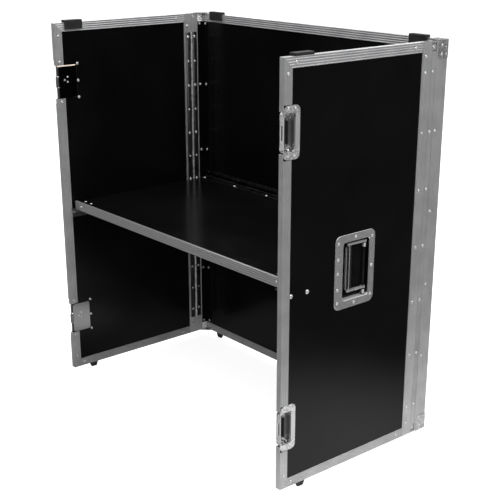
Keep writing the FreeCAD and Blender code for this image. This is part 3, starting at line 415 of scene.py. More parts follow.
section = ribbed_outline(oblong((panel_high.x - LINING, panel_high.x + LINING),
                                (lip_start + LINING_GAP, hinge_high.y)), [False] * 4)
linings = [extruded(section, 2, stops[run] + LINING_GAP, stops[run + 1] - LINING_GAP) for run in (1, 3)]
piece("window_linings", with_mirrored(linings), aluminium[2])

# Rivets: drawn steel blind rivets with a domed head and the small well that the broken stem leaves. They
# hold the corners of the rails, the channels at the hinge line and the corner angles behind them. A head is
# given by its radius and height, and a place by its distance from the nearest edge or, in rows, its height.
RIVET_STEEL = (0.72, 0.72, 0.72, 1)
STEEL_DULLING = 0.85
RIVET_HEAD = (0.0036, 0.0014)
WINDOW_HEAD = (0.0036, 0.0018)
CAP_HEAD = (0.0030, 0.0010)
HEAD_SINK = 0.0003
HEAD_SIDES = 12
HEAD_RADII = np.array([1.0, 0.97, 0.72, 0.36, 0.27])
HEAD_HEIGHTS = np.array([0.0, 0.45, 0.9, 1.0, 0.55])
FROM_CORNER = 0.031
FROM_DISH = 0.008
FROM_RAIL_END = 0.024
FROM_RAIL_END_OUTSIDE = 0.028
FROM_STRIP_FRONT = 0.011
FROM_STRIP_REAR = 0.007
FROM_CORNER_SIDE = 0.0095
FROM_CORNER_BACK = 0.011
FROM_RETURN_BOARD = 0.012
FROM_CAP_FRONT = 0.006
FROM_CAP_TOP = 0.008
STRIP_ROWS = (0.085, 0.214, 0.342, 0.469, 0.596, 0.720, 0.845)
STRIP_END_ROWS = (0.044, 0.878)
CORNER_ROWS = (0.202, 0.376, 0.544, 0.720)
TRAY_ROWS = (0.040, 0.202, 0.376, 0.544, 0.722, 0.881)


def worn_surface(name, colours, rough, patch, grain, raised, **sockets):
    """Goes between two colours and two roughnesses over patches, under a fine raised grain.

    patch and grain are each a noise's scale and detail, and raised is the grain's strength and height.
    """
    finish = new_finish(name, **sockets)
    patches = noise(finish, *patch)
    join_socket(finish, "Base Color", blended(finish, ranged(finish, patches, 0, 1), *colours))
    join_socket(finish, "Roughness", ranged(finish, patches, *rough))
    bump(finish, noise(finish, *grain), *raised)
    return finish


def bright_steel(name, colour, rough, metallic=0.8, patch=90.0):
    """Plated steel whose gloss wanders between two roughnesses over patches of a few millimetres."""
    dark = tuple(STEEL_DULLING * part for part in colour[:3]) + (1,)
    return worn_surface(name, (dark, colour), rough, patch=(patch, 3.0), grain=(1100.0, 2.0),
                        raised=(0.05, 0.00005), Metallic=metallic)


rivet_steel = bright_steel("rivet_steel", RIVET_STEEL, rough=(0.16, 0.30), metallic=0.6)


def full_turn(steps):
    """The angles of a whole turn in even steps, without the one that closes it."""
    return np.linspace(0, 2 * np.pi, steps, endpoint=False)


def domes(places, axis, way, head=RIVET_HEAD):
    """Rivet heads at an array of points on a face that looks along axis, up (way 1) or down it (way -1).

    A head is a ring of sides at each of a few shares of the radius, each at its share of the height,
    closed by a fan at the bottom of the well.
    """
    places = np.asarray(places, float).reshape(-1, 3)
    radius, height = head
    angles = full_turn(HEAD_SIDES)
    rings = np.empty((len(HEAD_RADII), HEAD_SIDES, 3))
    rings[..., axis] = (HEAD_HEIGHTS[:, None] * (height + HEAD_SINK) - HEAD_SINK) * way
    rings[..., (axis + 1) % 3] = HEAD_RADII[:, None] * np.cos(angles) * radius
    rings[..., (axis + 2) % 3] = HEAD_RADII[:, None] * np.sin(angles) * radius * way
    well = np.zeros((1, 3))
    well[0, axis] = rings[-1, 0, axis]
    points = np.concatenate([rings.reshape(-1, 3), well])
    quads = np.array(tube_faces(len(HEAD_RADII), HEAD_SIDES)[:-2])
    spokes = np.arange(HEAD_SIDES)
    last = (len(HEAD_RADII) - 1) * HEAD_SIDES
    hub = np.full(HEAD_SIDES, last + HEAD_SIDES)
    fan = np.stack([last + spokes, last + (spokes + 1) % HEAD_SIDES, hub], 1)
    steps = (np.arange(len(places)) * len(points))[:, None, None]
    faces = (quads + steps).reshape(-1, 4).tolist() + (fan + steps).reshape(-1, 3).tolist()
    return (places[:, None, :] + points).reshape(-1, 3), faces


def grid_points(xs, ys, zs):
    """Every combination of the given coordinates, as rows of x, y, z."""
    return np.stack(np.meshgrid(xs, ys, zs, indexing="ij"), -1).reshape(-1, 3)


def side_heads(x, ys, zs, way, head=RIVET_HEAD):
    """Rivet heads at every combination of ys and zs, on a face at x that looks right (way 1) or left."""
    return domes(grid_points([x], ys, zs), 0, way, head)


def rivets(name, heads, body="booth_frame"):
    """One piece out of rivet or screw heads of bright steel."""
    piece(name, heads, rivet_steel, body)


half_face = rail_face / 2
outer_x, inner_x = front_high.x, front_low.x
ends_z = [floor_edge + half_face, head_edge - half_face]
along_z = [floor_edge + FROM_CORNER, head_edge - FROM_CORNER]
dish_z = [height + (DISH_CUT_HALF + FROM_DISH) * way for height in latch_heights for way in (-1, 1)]
corner_y, rail_y = front_low.y + FROM_CORNER, front_low.y + half_face
strip_y = [hinge_low.y + FROM_STRIP_FRONT, hinge_high.y - FROM_STRIP_REAR]
window_z = [hinge_low.z + sum(window) / 2, hinge_high.z - sum(window) / 2]
right_heads = [
    side_heads(outer_x, [corner_y, wing_high.y - FROM_RAIL_END_OUTSIDE], ends_z, 1),
    side_heads(outer_x, [rail_y], along_z, 1),
    side_heads(outer_x, strip_y, STRIP_ROWS, 1),
    side_heads(outer_x, strip_y[:1], STRIP_END_ROWS, 1),
    side_heads(outer_x, [corner_low.y + FROM_CORNER_SIDE], CORNER_ROWS, 1),
    side_heads(panel_high.x, [hinge_high.y - WINDOW_WIDTH / 2], window_z, 1, WINDOW_HEAD),
    side_heads(inner_x, [corner_y, wing_high.y - FROM_RAIL_END], ends_z, -1),
    side_heads(inner_x, [rail_y], along_z + dish_z, -1),
    side_heads(inner_x, [(wing_high.y + seam) / 2], along_z, -1),
]
rivets("right_wing_rivets", right_heads)
rivets("left_wing_rivets", [mirrored(part) for part in right_heads])

board_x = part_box("right_return_board")[0].x
fascia_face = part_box("fascia_panel")[0].y
tray_heads = [
    side_heads(board_x, [(edge_high.y + rail_low.y) / 2], TRAY_ROWS, -1),
    domes(grid_points([board_x - FROM_RETURN_BOARD], [fascia_face], TRAY_ROWS), 1, -1),
    side_heads(inner_x, [edge_low.y + FROM_CAP_FRONT], [head_edge - FROM_CAP_TOP], -1, CAP_HEAD),
    domes(grid_points([corner_low.x + FROM_CORNER_BACK], [corner_high.y], CORNER_ROWS), 1, 1),
]
rivets("fascia_tray_rivets", with_mirrored(tray_heads))

# Corner braces: zinc plated sheet pressed over the four rear corners, with rivets on both sides of each.
# Their edges are rolled over, so a copy of the solid is merged and its edges are rounded.
BRACE_STEEL = (0.60, 0.60, 0.61, 1)
BRACE_EDGE = 0.0005
BRACE_HEAD = (0.0036, 0.0008)
BRACE_SMALL_HEAD = (0.0026, 0.0004)
BRACE_ROWS = (0.012, 0.030)
BRACE_FRONT_COLUMN = 0.019
BRACE_REAR_COLUMN = 0.006
BRACE_REAR_STEP = 0.004
BRACE_BACK_COLUMNS = (0.022, 0.010)
BRACE_GLINTS = 0.35
GLINT_LIGHT = (0.90, 0.90, 0.90, 1)
GLINT_DARK = (0.04, 0.04, 0.041, 1)
WELD_DISTANCE = 1e-6
FLAT_ANGLE = math.radians(2)
SHARP_ANGLE = math.radians(35)


def rounded_copy(node_name, name, finish, width, body="booth_frame", segments=3, within=None):
    """A copy of a CAD node as a clean mesh with every sharp edge rounded by a bevel.

    Where within is given, it is the largest |x|, |y| and |z|, and points beyond are drawn back to it.
    """
    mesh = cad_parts[node_name].data.copy()
    mesh.name = name
    if within is not None:
        places = np.empty(len(mesh.vertices) * 3, np.float32)
        mesh.vertices.foreach_get("co", places)
        places = np.clip(places.reshape(-1, 3), -np.asarray(within), within)
        mesh.vertices.foreach_set("co", places.astype(np.float32).ravel())
    shape = bmesh.new()
    shape.from_mesh(mesh)
    bmesh.ops.remove_doubles(shape, verts=shape.verts, dist=WELD_DISTANCE)
    bmesh.ops.dissolve_limit(shape, angle_limit=FLAT_ANGLE, verts=shape.verts, edges=shape.edges)
    shape.to_mesh(mesh)
    shape.free()
    mesh.materials.clear()
    mesh.materials.append(finish)
    mesh.polygons.foreach_set("use_smooth", [False] * len(mesh.polygons))
    made = new_object(name, mesh)
    edges = made.modifiers.new("rolled_edges", "BEVEL")
    edges.width = width
    edges.segments = segments
    edges.limit_method = "ANGLE"
    edges.angle_limit = SHARP_ANGLE
    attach(made, body)
    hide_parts(node_name)


def current(finish, socket):
    """The node socket that feeds an input of the finish's principled shader so far."""
    return finish.node_tree.nodes["Principled BSDF"].inputs[socket].links[0].from_socket


def recoloured(finish, share, colour):
    """Blends a finish's colour so far towards another one, by a share from 0 to 1."""
    join_socket(finish, "Base Color", blended(finish, share, current(finish, "Base Color"), colour))
    return finish


def glinting(finish, share):
    """Paints small bright and dark glints, painted reflections, over a plated surface: share is how much they
    show.
    """
    patches = ranged(finish, noise(finish, scale=260.0, detail=1.0), 0, 1, start=0.42, stop=0.58)
    return recoloured(finish, share, blended(finish, patches, GLINT_DARK, GLINT_LIGHT))


# Painted reflections: the braces' plating is broken up by painted glints.
brace_steel = glinting(bright_steel("brace_steel", BRACE_STEEL, rough=(0.22, 0.36)), BRACE_GLINTS)
brace_low, brace_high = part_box("corner_braces")
side_x, back_y = brace_high.x - BRACE_HEAD[1], brace_high.y - BRACE_HEAD[1]
rounded_copy("corner_braces", "pressed_corner_braces", brace_steel, BRACE_EDGE,
             within=(side_x, back_y, brace_high.z))
brace_heads = []
for up, edge in ((1, brace_high.z), (-1, brace_low.z)):
    first, second = [edge - row * up for row in BRACE_ROWS]
    back_places = [(side_x - column, back_y, z) for column, z in zip(BRACE_BACK_COLUMNS, (first, second))]
    brace_heads += [
        side_heads(side_x, [back_y - BRACE_FRONT_COLUMN], [first, second], 1, BRACE_HEAD),
        side_heads(side_x, [back_y - BRACE_REAR_COLUMN], [first - BRACE_REAR_STEP * up, second], 1,
                   BRACE_SMALL_HEAD),
        domes(back_places, 1, 1, BRACE_HEAD),
    ]
rivets("corner_brace_rivets", with_mirrored(brace_heads))

# Piano hinges: rolled strip whose knuckles take turns on one long pin, plated black and riveted flat on
# the channels. The black is partly plating and partly painted dark reflection, and the upright hinges'
# knuckles are painted bright as a highlight. The two upright ones carry the wings, and the third carries the
# shelf.
HINGE_BLACK = (0.007, 0.007, 0.0075, 1)
HINGE_WORN = (0.016, 0.016, 0.017, 1)
KNUCKLE_STEEL = (0.75, 0.75, 0.76, 1)
LEAF_SHEET = 0.0012
KNUCKLE_RADIUS = 0.0022
KNUCKLE_PAIRS = 9
KNUCKLE_GAP = 0.0004
LEAF_REACH = 0.0027
CURL_POINTS = 22
THROUGH_HEAD = (0.0040, 0.0014)
LEAF_HEAD = (0.0030, 0.0009)
THROUGH_ROWS = np.linspace(0.0865, 0.849, 7)
LEAF_COLUMN = 0.0105

leaf_plating = worn_surface("hinge_leaf_plating", (HINGE_BLACK, HINGE_WORN), rough=(0.24, 0.36),
                            patch=(45.0, 5.0), grain=(900.0, 2.0), raised=(0.1, 0.00005), Metallic=0.3,
                            Specular_IOR_Level=0.3)
# Painted highlight: the upright hinges' knuckles are bright steel, though rolled from the same black strip.
knuckle_steel = bright_steel("hinge_knuckle_steel", KNUCKLE_STEEL, rough=(0.22, 0.38), metallic=0.6)


def hinge_leaf(label, body, axis, ends, starts_low, rise, placed, knuckle_finish):
    """One hinge leaf along axis as two pieces: its flat strip, and the knuckles in a finish of their own.

    In the section, u runs out along the strip and v rises from it, with the pin at the middle. A knuckle
    leaves the strip's lower face at the height -rise, circles the pin, and meets the strip's upper face
    again. placed gives the section's two real coordinates for u and v.
    """
    meet = math.asin((LEAF_SHEET - rise) / KNUCKLE_RADIUS)
    sweep = np.linspace(-math.pi / 2, meet - 2 * math.pi, CURL_POINTS)
    curl = np.stack([np.cos(sweep), np.sin(sweep)], 1) * KNUCKLE_RADIUS
    reach = LEAF_REACH + LEAF_SHEET
    rolled = np.concatenate([[(reach, -rise), (0, -rise)], curl, [(reach, LEAF_SHEET - rise)]])
    strip = np.array(oblong((LEAF_REACH, leaf_width), (-rise, LEAF_SHEET - rise)))
    rolled, strip = [np.stack(placed(part[:, 0], part[:, 1]), 1) for part in (rolled, strip)]
    pair = (ends[1] - ends[0]) / KNUCKLE_PAIRS
    run = pair / 2 - KNUCKLE_GAP
    steps = ends[0] + (0 if starts_low else pair - run) + pair * np.arange(KNUCKLE_PAIRS)
    piece(f"{label}_strip", [extruded(strip, axis, *ends)], leaf_plating, body, [label])
    piece(f"{label}_knuckles", [extruded(rolled, axis, step, step + run) for step in steps], knuckle_finish,
          body)


pin = middle("right_hinge_pin")
hinge_ends = [corner.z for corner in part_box("right_hinge_pin")]
leaf_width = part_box("right_hinge_return_leaf")[1].y - pin.y
for side, sign in (("right", 1), ("left", -1)):
    for leaf, way in (("return", 1), ("wing", -1)):
        hinge_leaf(f"{side}_hinge_{leaf}_leaf", "booth_frame", 2, hinge_ends, way == sign, KNUCKLE_RADIUS,
                   lambda u, v: ((pin.x - v) * sign, pin.y + u * way), knuckle_steel)
    paint(f"{side}_hinge_pin", knuckle_steel)

shelf_pin = middle("shelf_hinge_pin")
shelf_ends = [corner.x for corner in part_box("shelf_hinge_pin")]
shelf_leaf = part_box("shelf_hinge_shelf_leaf")[0]
shelf_rise = shelf_pin.z - shelf_leaf.z
hinge_leaf("shelf_hinge_shelf_leaf", "shelf", 0, shelf_ends, False, shelf_rise,
           lambda u, v: (shelf_pin.y - u, shelf_pin.z + v), leaf_plating)
hinge_leaf("shelf_hinge_fascia_leaf", "booth_frame", 0, shelf_ends, True, shelf_rise,
           lambda u, v: (shelf_pin.y - v, shelf_pin.z + u), leaf_plating)
paint("shelf_hinge_pin", knuckle_steel)

leaf_face = inner_x - LEAF_SHEET
leaf_columns = [pin.y - LEAF_COLUMN, pin.y + LEAF_COLUMN]
between_rows = (THROUGH_ROWS[:-1] + THROUGH_ROWS[1:]) / 2
bright_heads = [side_heads(leaf_face, leaf_columns, THROUGH_ROWS, -1, THROUGH_HEAD)]
dull_heads = [side_heads(leaf_face, leaf_columns, between_rows, -1, LEAF_HEAD)]
rivets("hinge_through_rivets", with_mirrored(bright_heads))
piece("hinge_leaf_rivets", with_mirrored(dull_heads), knuckle_steel)

# Shelf: the board's front edge is capped by a ribbed aluminium channel, and its rear hinge is screwed down.
# Two more screws at each front end go into the brackets below.
SHELF_GREY = (0.34, 0.34, 0.345, 1)
SHELF_WALL = 0.0015
HINGE_SCREW = (0.0036, 0.0012)
FASCIA_SCREW = (0.003, 0.001)
BRACKET_SCREW = (0.0034, 0.001)
HINGE_SCREW_COLUMNS = np.linspace(-0.39, 0.39, 7)
BRACKET_SCREW_COLUMNS = (-0.382, -0.356, 0.356, 0.382)
BRACKET_SCREW_ROW = -0.1815
EDGE_RIVET_COLUMNS = (-0.372, 0.372)
shelf_low, shelf_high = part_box("shelf_front_edge")
inside_y = shelf_low.y + SHELF_WALL
inside_z = (shelf_low.z + SHELF_WALL, shelf_high.z - SHELF_WALL)
outline = [(shelf_low.y, shelf_low.z), (shelf_high.y, shelf_low.z), (shelf_high.y, inside_z[0]),
           (inside_y, inside_z[0]), (inside_y, inside_z[1]), (shelf_high.y, inside_z[1]),
           (shelf_high.y, shelf_high.z), (shelf_low.y, shelf_high.z)]
shelf_edge = extruded(ribbed_outline(outline, [False] * 7 + [True]), 0, shelf_low.x, shelf_high.x)
shelf_aluminium = satin_aluminium("shelf_edge_aluminium", 0, SHELF_GREY, SHELF_GREY)
piece("shelf_edge_extrusion", [shelf_edge], shelf_aluminium, "shelf",
      ["shelf_front_edge"])
shelf_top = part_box("shelf_board")[1].z
shelf_heads = [
    domes(grid_points(HINGE_SCREW_COLUMNS, [shelf_pin.y - LEAF_COLUMN], [shelf_leaf.z + LEAF_SHEET]), 2, 1,
          HINGE_SCREW),
    domes(grid_points(BRACKET_SCREW_COLUMNS, [BRACKET_SCREW_ROW], [shelf_top]), 2, 1, BRACKET_SCREW),
    domes(grid_points(EDGE_RIVET_COLUMNS, [shelf_low.y], [(shelf_low.z + shelf_high.z) / 2]), 1, -1),
]
rivets("shelf_screws", shelf_heads, "shelf")
fascia_places = grid_points(HINGE_SCREW_COLUMNS, [fascia_face - LEAF_SHEET], [shelf_pin.z + LEAF_COLUMN])
piece("shelf_hinge_fascia_screws", [domes(fascia_places, 1, -1, FASCIA_SCREW)], leaf_plating)

# Shelf brackets: folded steel angles painted black, each held by two dome-headed bolts through its wing
# with a washer outside and a hexagon nut inside. Profile rows are a distance from the face and a radius.
BRACKET_BLACK = (0.02, 0.02, 0.021, 1)
BRACKET_WORN = (0.04, 0.04, 0.042, 1)
BRACKET_EDGE = 0.0005
BRACKET_SHEET = 0.002
WASHER_PROFILE = np.array([(-0.0002, 1.0), (0.0006, 1.0), (0.0007, 0.86)])
BOLT_HEAD_SHARES = np.array([(0.55, 0.80), (0.86, 0.55), (1.0, 0.26), (0.75, 0.20)])
BOLT_SIDES = 28
NUT_PROFILE = np.array([(0.0, 0.0040), (0.0003, 0.0042), (0.0019, 0.0042), (0.0022, 0.0038)])
NUT_SIDES = 6
BOLT_END_PROFILE = np.array([(0.0021, 0.0025), (0.0027, 0.0022)])

bracket_paint = worn_surface("bracket_paint", (BRACKET_BLACK, BRACKET_WORN), rough=(0.40, 0.55),
                             patch=(60.0, 4.0), grain=(650.0, 2.0), raised=(0.2, 0.0001),
                             Specular_IOR_Level=0.5)
for side in ("left", "right"):
    rounded_copy(f"{side}_shelf_bracket", f"{side}_folded_bracket", bracket_paint,
                 BRACKET_EDGE)


def turned(profile, face, way, centre, sides=BOLT_SIDES):
    """A shape turned about x, out from a face to the right (way 1) or left, by the rows of its profile."""
    angles = full_turn(sides)
    radii = profile[:, 1, None]
    along = np.broadcast_to(face + profile[:, :1] * way, (len(profile), sides))
    points = np.stack([along, centre[0] + radii * np.cos(angles), centre[1] + radii * np.sin(angles)], -1)
    faces = tube_faces(len(profile), sides)
    return points.reshape(-1, 3), turned_over(faces) if way < 0 else faces


bolt_low, bolt_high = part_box("shelf_bracket_bolts")
bolt_z = (bolt_low.z + bolt_high.z) / 2
bolt_radius = (bolt_high.z - bolt_low.z) / 2
head_profile = np.concatenate([WASHER_PROFILE * (1, bolt_radius),
                               BOLT_HEAD_SHARES * (bolt_high.x - panel_high.x, bolt_radius)])
nut_face = panel_low.x - BRACKET_SHEET
bolts = []
for y in (bolt_low.y + bolt_radius, bolt_high.y - bolt_radius):
    bolts += [turned(head_profile, panel_high.x, 1, (y, bolt_z)),
              turned(NUT_PROFILE, nut_face, -1, (y, bolt_z), NUT_SIDES),
              turned(BOLT_END_PROFILE, nut_face, -1, (y, bolt_z))]
piece("shelf_bracket_bolt_set", with_mirrored(bolts), rivet_steel,
      nodes=["shelf_bracket_bolts"])

# Latches and catches: bright zinc dishes pressed from sheet and riveted into the wings' front edges. The
# left ones hold a turning drum with two folding wings and a sliding hook, the right ones a folded strike
# plate. Depths are the |x|, or for the strike the |y|, between which a finish changes; where a pan or the
# strike's slot goes dark between them, that is painted shade.
ZINC_BRIGHT = (0.70, 0.70, 0.705, 1)
ZINC_PALE = (0.56, 0.56, 0.565, 1)
ZINC_MIRROR = (0.34, 0.34, 0.345, 1)
HOOK_SHADE_ZINC = (0.30, 0.30, 0.305, 1)
ZINC_METAL = 0.8
PRESSED_ROUGH = (0.18, 0.24)
PRESSED_PATCH = 20.0
MIRROR_ROUGH = 0.10
PAN_SHADE_GREY = (0.15, 0.15, 0.152, 1)
PAN_DEPTHS = (0.4172, 0.4120)
BACK_DEPTHS = (0.4068, 0.4062)
FLANGE_GLINTS = 0.35
PAN_GLINTS = 0.90
GLINT_DEPTHS = (0.4172, 0.4160)
GLINT_SPAN = (0.020, 0.034)
STRIKE_LIGHT = (0.70, 0.70, 0.71, 1)
STRIKE_SLOT_SHADE = (0.04, 0.04, 0.041, 1)
STRIKE_DEPTHS = (0.2262, 0.2252)
DISH_EDGE = 0.0007
DRUM_EDGE = 0.0003
KEY_EDGE = 0.0004
DISH_HEAD = (0.003, 0.001)
PLATE_HEAD = (0.0024, 0.0009)
STRIKE_HEAD = (0.0026, 0.0006)
FROM_DISH_END = 0.006
FROM_CATCH_SIDE = 0.012
FROM_LATCH_FRONT = 0.014
FROM_LATCH_REAR = 0.016
FROM_LATCH_MIDDLE = 0.0065
FROM_CATCH_BACK = 0.004
INSIDE_COLUMN = -0.1685
INSIDE_RISE = 0.041
PLATE_PLACES = ((-0.199, 0.011), (-0.207, 0.004), (-0.199, -0.001))
STRIKE_EYE = 0.0205
BARE_LIGHT = (0.95, 0.84, 0.76, 1)
BARE_DARK = (0.80, 0.62, 0.50, 1)
SLIVER_HEIGHT = 0.0030
SLIVER_SHEET = 0.0010
zinc_bright = bright_steel("zinc_plate", ZINC_BRIGHT, rough=(0.16, 0.30))
# Painted shade: the sliding hook is a darker copy of the zinc, standing for the shadow it sits in.
shaded_hook_zinc = bright_steel("zinc_hook_painted_shade", HOOK_SHADE_ZINC, rough=(0.20, 0.38))


def distance_from(finish, axis, level=0.0):
    """How far a point lies from a level of one Object coordinate, on either side of it."""
    away = calculated(finish, "SUBTRACT", own_part(finish, axis), level)
    return calculated(finish, "ABSOLUTE", away)


def recess_shaded_steel(name, axis, depths, dark, bright=ZINC_BRIGHT, metallic=ZINC_METAL):
    """Painted shade in a recess: plated steel darkens as one coordinate's size goes from depth to depth."""
    finish = bright_steel(name, bright, PRESSED_ROUGH, metallic, PRESSED_PATCH)
    return recoloured(finish, ranged(finish, distance_from(finish, axis), 0, 1, *depths), dark)


def glinting_ends(finish, height):
    """Painted glints at a dish's two ends: more as |z - height| grows, and more in the pan than on the
    flange.
    """
    most = ranged(finish, own_part(finish, 0), FLANGE_GLINTS, PAN_GLINTS, *GLINT_DEPTHS)
    share = ranged(finish, distance_from(finish, 2, height), 0, 1, *GLINT_SPAN)
    glinting(finish, calculated(finish, "MULTIPLY", share, most))


def polished_back(finish):
    """Polishes a dish's untouched back, which lies below the lower of its two depths, like a mirror."""
    size = distance_from(finish, 0)
    share = ranged(finish, size, 0, 1, *BACK_DEPTHS)
    join_socket(finish, "Metallic", ranged(finish, size, ZINC_METAL, 1.0, *BACK_DEPTHS))
    join_socket(finish, "Roughness", mixed(finish, share, current(finish, "Roughness"), MIRROR_ROUGH))
    return recoloured(finish, share, ZINC_MIRROR)


# Painted shade: the latch and catch pans darken to a grey well below their zinc, and the strike's slot to
# near black.
latch_steel = polished_back(recess_shaded_steel("zinc_latch_dish", 0, PAN_DEPTHS, PAN_SHADE_GREY))
strike_steel = recess_shaded_steel("zinc_strike", 1, STRIKE_DEPTHS, STRIKE_SLOT_SHADE, STRIKE_LIGHT, metallic=0.5)
for name, height in zip(("upper", "lower"), latch_heights):
    catch_steel = recess_shaded_steel(f"zinc_{name}_catch_dish", 0, PAN_DEPTHS, PAN_SHADE_GREY, ZINC_PALE, metallic=0.55)
    glinting_ends(catch_steel, height)
    for node, made, steel, body, width in (
            ("latch_dish", "latch_pressing", latch_steel, "booth_frame", DISH_EDGE),
            ("catch_dish", "catch_pressing", catch_steel, "booth_frame", DISH_EDGE),
            ("latch_hook", "sliding_hook", shaded_hook_zinc, f"{name}_hook", DRUM_EDGE),
            ("latch_drum", "turning_drum", zinc_bright, f"{name}_drum", DRUM_EDGE),
            ("latch_front_wing", "front_key_wing", zinc_bright, f"{name}_front_key", KEY_EDGE),
            ("latch_rear_wing", "rear_key_wing", zinc_bright, f"{name}_rear_key", KEY_EDGE)):
        rounded_copy(f"{name}_{node}", f"{name}_{made}", steel, width, body)
rounded_copy("catch_strikes", "folded_strikes", strike_steel, KEY_EDGE)
latch_low, latch_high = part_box("upper_latch_dish")
catch_low, catch_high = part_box("upper_catch_dish")
strike_low, strike_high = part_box("catch_strikes")
strike_x = (strike_low.x + strike_high.x) / 2
rim = (catch_high.z - catch_low.z) / 2 - FROM_DISH_END
catch_y = [catch_low.y + FROM_CATCH_SIDE, catch_high.y - FROM_CATCH_SIDE]
latch_y = [latch_low.y + FROM_LATCH_FRONT, latch_high.y - FROM_LATCH_REAR]
dish_heads = []
for height in latch_heights:
    rims = [height - rim, height + rim]
    inside_rows = [height - INSIDE_RISE, height, height + INSIDE_RISE]
    eyes = [height - STRIKE_EYE, height + STRIKE_EYE]
    dish_heads += [
        side_heads(catch_high.x, catch_y, rims, 1, DISH_HEAD),
        side_heads(latch_low.x, latch_y, rims, -1, DISH_HEAD),
        side_heads(latch_low.x, [latch_high.y - FROM_LATCH_MIDDLE], [height], -1, DISH_HEAD),
        side_heads(-panel_low.x, [INSIDE_COLUMN], inside_rows, 1),
        domes([(-inner_x, y, height + rise) for y, rise in PLATE_PLACES], 0, 1, PLATE_HEAD),
        domes(grid_points([strike_x], [strike_low.y], eyes), 1, -1, STRIKE_HEAD),
        side_heads(panel_low.x, [catch_high.y - FROM_CATCH_BACK], inside_rows[::2], -1),
    ]
rivets("dish_rivets", dish_heads)


def bare_ply(name):
    """Pale sawn plywood: brown streaks of noise drawn out along the grain."""
    finish = new_finish(name, Roughness=0.7)
    grain = noise(finish, scale=500.0, detail=4.0, stretch=(1, 0.05, 1))
    join_socket(finish, "Base Color", blended(finish, ranged(finish, grain, 0, 1), BARE_DARK, BARE_LIGHT))
    bump(finish, grain, strength=0.3, distance=0.0002)
    return finish


sliver_top = upper + DISH_CUT_HALF
corners = oblong((sliver_top - SLIVER_HEIGHT, sliver_top), (-inner_x, SLIVER_SHEET - inner_x))
section = ribbed_outline(corners, [False] * 4)
piece("upper_latch_bare_ply", [extruded(section, 1, front_low.y + CHANNEL_WALL, latch_y[1])],
      bare_ply("bare_ply"))

# Lifting handle: a deep zinc dish riveted into the right wing, lined with black rubber. A sprung bail turns
# on an upright rod, and carries an oval steel grip with two flutes along it.
HANDLE_SHADE_BLACK = (0.012, 0.012, 0.0125, 1)
SILL_PAINTED_LIGHT = (0.50, 0.50, 0.505, 1)
SILL_METAL = 0.2
SILL_TURN = (0.3, 0.9)
BAIL_REFLECTION_GREY = (0.50, 0.50, 0.505, 1)
BAIL_EDGE = 0.0008
FLUTE_PAINTED_SHADE = (0.06, 0.06, 0.062, 1)
FLUTE_SHARE = 0.14
HANDLE_DEPTHS = (0.4174, 0.4150)
DISH_SHEET = 0.0012
PAN_Y = (-0.0605, 0.0175)
PAN_CORNER = 0.008
FLANGE_CORNER = 0.015
FLANGE_ROLL = ((0.0, DISH_SHEET), (0.0, 0.0008), (0.0004, 0.0001), (0.001, 0.0))
LIP_RADIUS = 0.0022
FLOOR_RADIUS = 0.003
BACK_RADIUS = 0.001
CORNER_POINTS = 10
ROLL_POINTS = 6
HANDLE_HEAD = (0.0036, 0.0012)
FROM_FLANGE = 0.0085
FRONT_ROWS = np.array([-0.064, -0.035, 0.0, 0.03, 0.064])
REAR_ROWS = np.array([-0.064, 0.0, 0.064])
GRIP_RINGS = 41
GRIP_SIDES = 40
GRIP_END_POWER = 14
GRIP_END_SHRINK = 0.25
GRIP_OVAL_POWER = 0.7


def rounded_rectangle(y_span, z_span, radius):
    """A rounded rectangle's outline as (y, z) rows, always with the same number of points."""
    turns = np.linspace(0, np.pi / 2, CORNER_POINTS)
    loop = []
    for quarter, (y, z) in enumerate(((1, 1), (0, 1), (0, 0), (1, 0))):
        centre = np.array([y_span[y] + radius * (-1 if y else 1), z_span[z] + radius * (-1 if z else 1)])
        angles = turns + quarter * np.pi / 2
        loop.append(centre + np.stack([np.cos(angles), np.sin(angles)], 1) * radius)
    return np.concatenate(loop)


def inset(span, by):
    """A low-high pair drawn in by the same amount at both ends."""
    return (span[0] + by, span[1] - by)


def lit_sill(finish):
    """Paints light onto a dish's lower wall: the share of painted light follows how far a face looks up."""
    facing = own_part(finish, 2, "Normal")
    join_socket(finish, "Metallic", ranged(finish, facing, ZINC_METAL, SILL_METAL, *SILL_TURN))
    return recoloured(finish, ranged(finish, facing, 0, 1, *SILL_TURN), SILL_PAINTED_LIGHT)


dish_low, dish_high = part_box("handle_dish")
liner_low, liner_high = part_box("handle_liner")
rod_low, rod_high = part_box("handle_rod")
flange_y, flange_z = (dish_low.y, dish_high.y), (dish_low.z, dish_high.z)
pan_z = (rod_low.z - DISH_SHEET, rod_high.z + DISH_SHEET)
floor_x, face_x = liner_low.x, dish_high.x
roll = np.linspace(0, np.pi / 2, ROLL_POINTS)
loops = []
for by, depth in FLANGE_ROLL:
    loops.append((flange_y, flange_z, by, FLANGE_CORNER - by, face_x - depth))
for turn in roll:
    by = DISH_SHEET - LIP_RADIUS * (1 - math.sin(turn))
    loops.append((PAN_Y, pan_z, by, PAN_CORNER - by, face_x - LIP_RADIUS * (1 - math.cos(turn))))
for turn in roll:
    by = DISH_SHEET + FLOOR_RADIUS * (1 - math.cos(turn))
    loops.append((PAN_Y, pan_z, by, PAN_CORNER - DISH_SHEET, floor_x + FLOOR_RADIUS * (1 - math.sin(turn))))
loops = loops[::-1] + [(PAN_Y, pan_z, 0, PAN_CORNER, face_x - DISH_SHEET),
                       (PAN_Y, pan_z, 0, PAN_CORNER, floor_x - DISH_SHEET + BACK_RADIUS),
                       (PAN_Y, pan_z, BACK_RADIUS, PAN_CORNER, floor_x - DISH_SHEET)]
skin = []
for y_span, z_span, by, radius, level in loops:
    outline = rounded_rectangle(inset(y_span, by), inset(z_span, by), radius)
    skin.append(np.column_stack([np.full(len(outline), level), outline]))
dish = (np.concatenate(skin), turned_over(tube_faces(len(skin), len(skin[0]))))
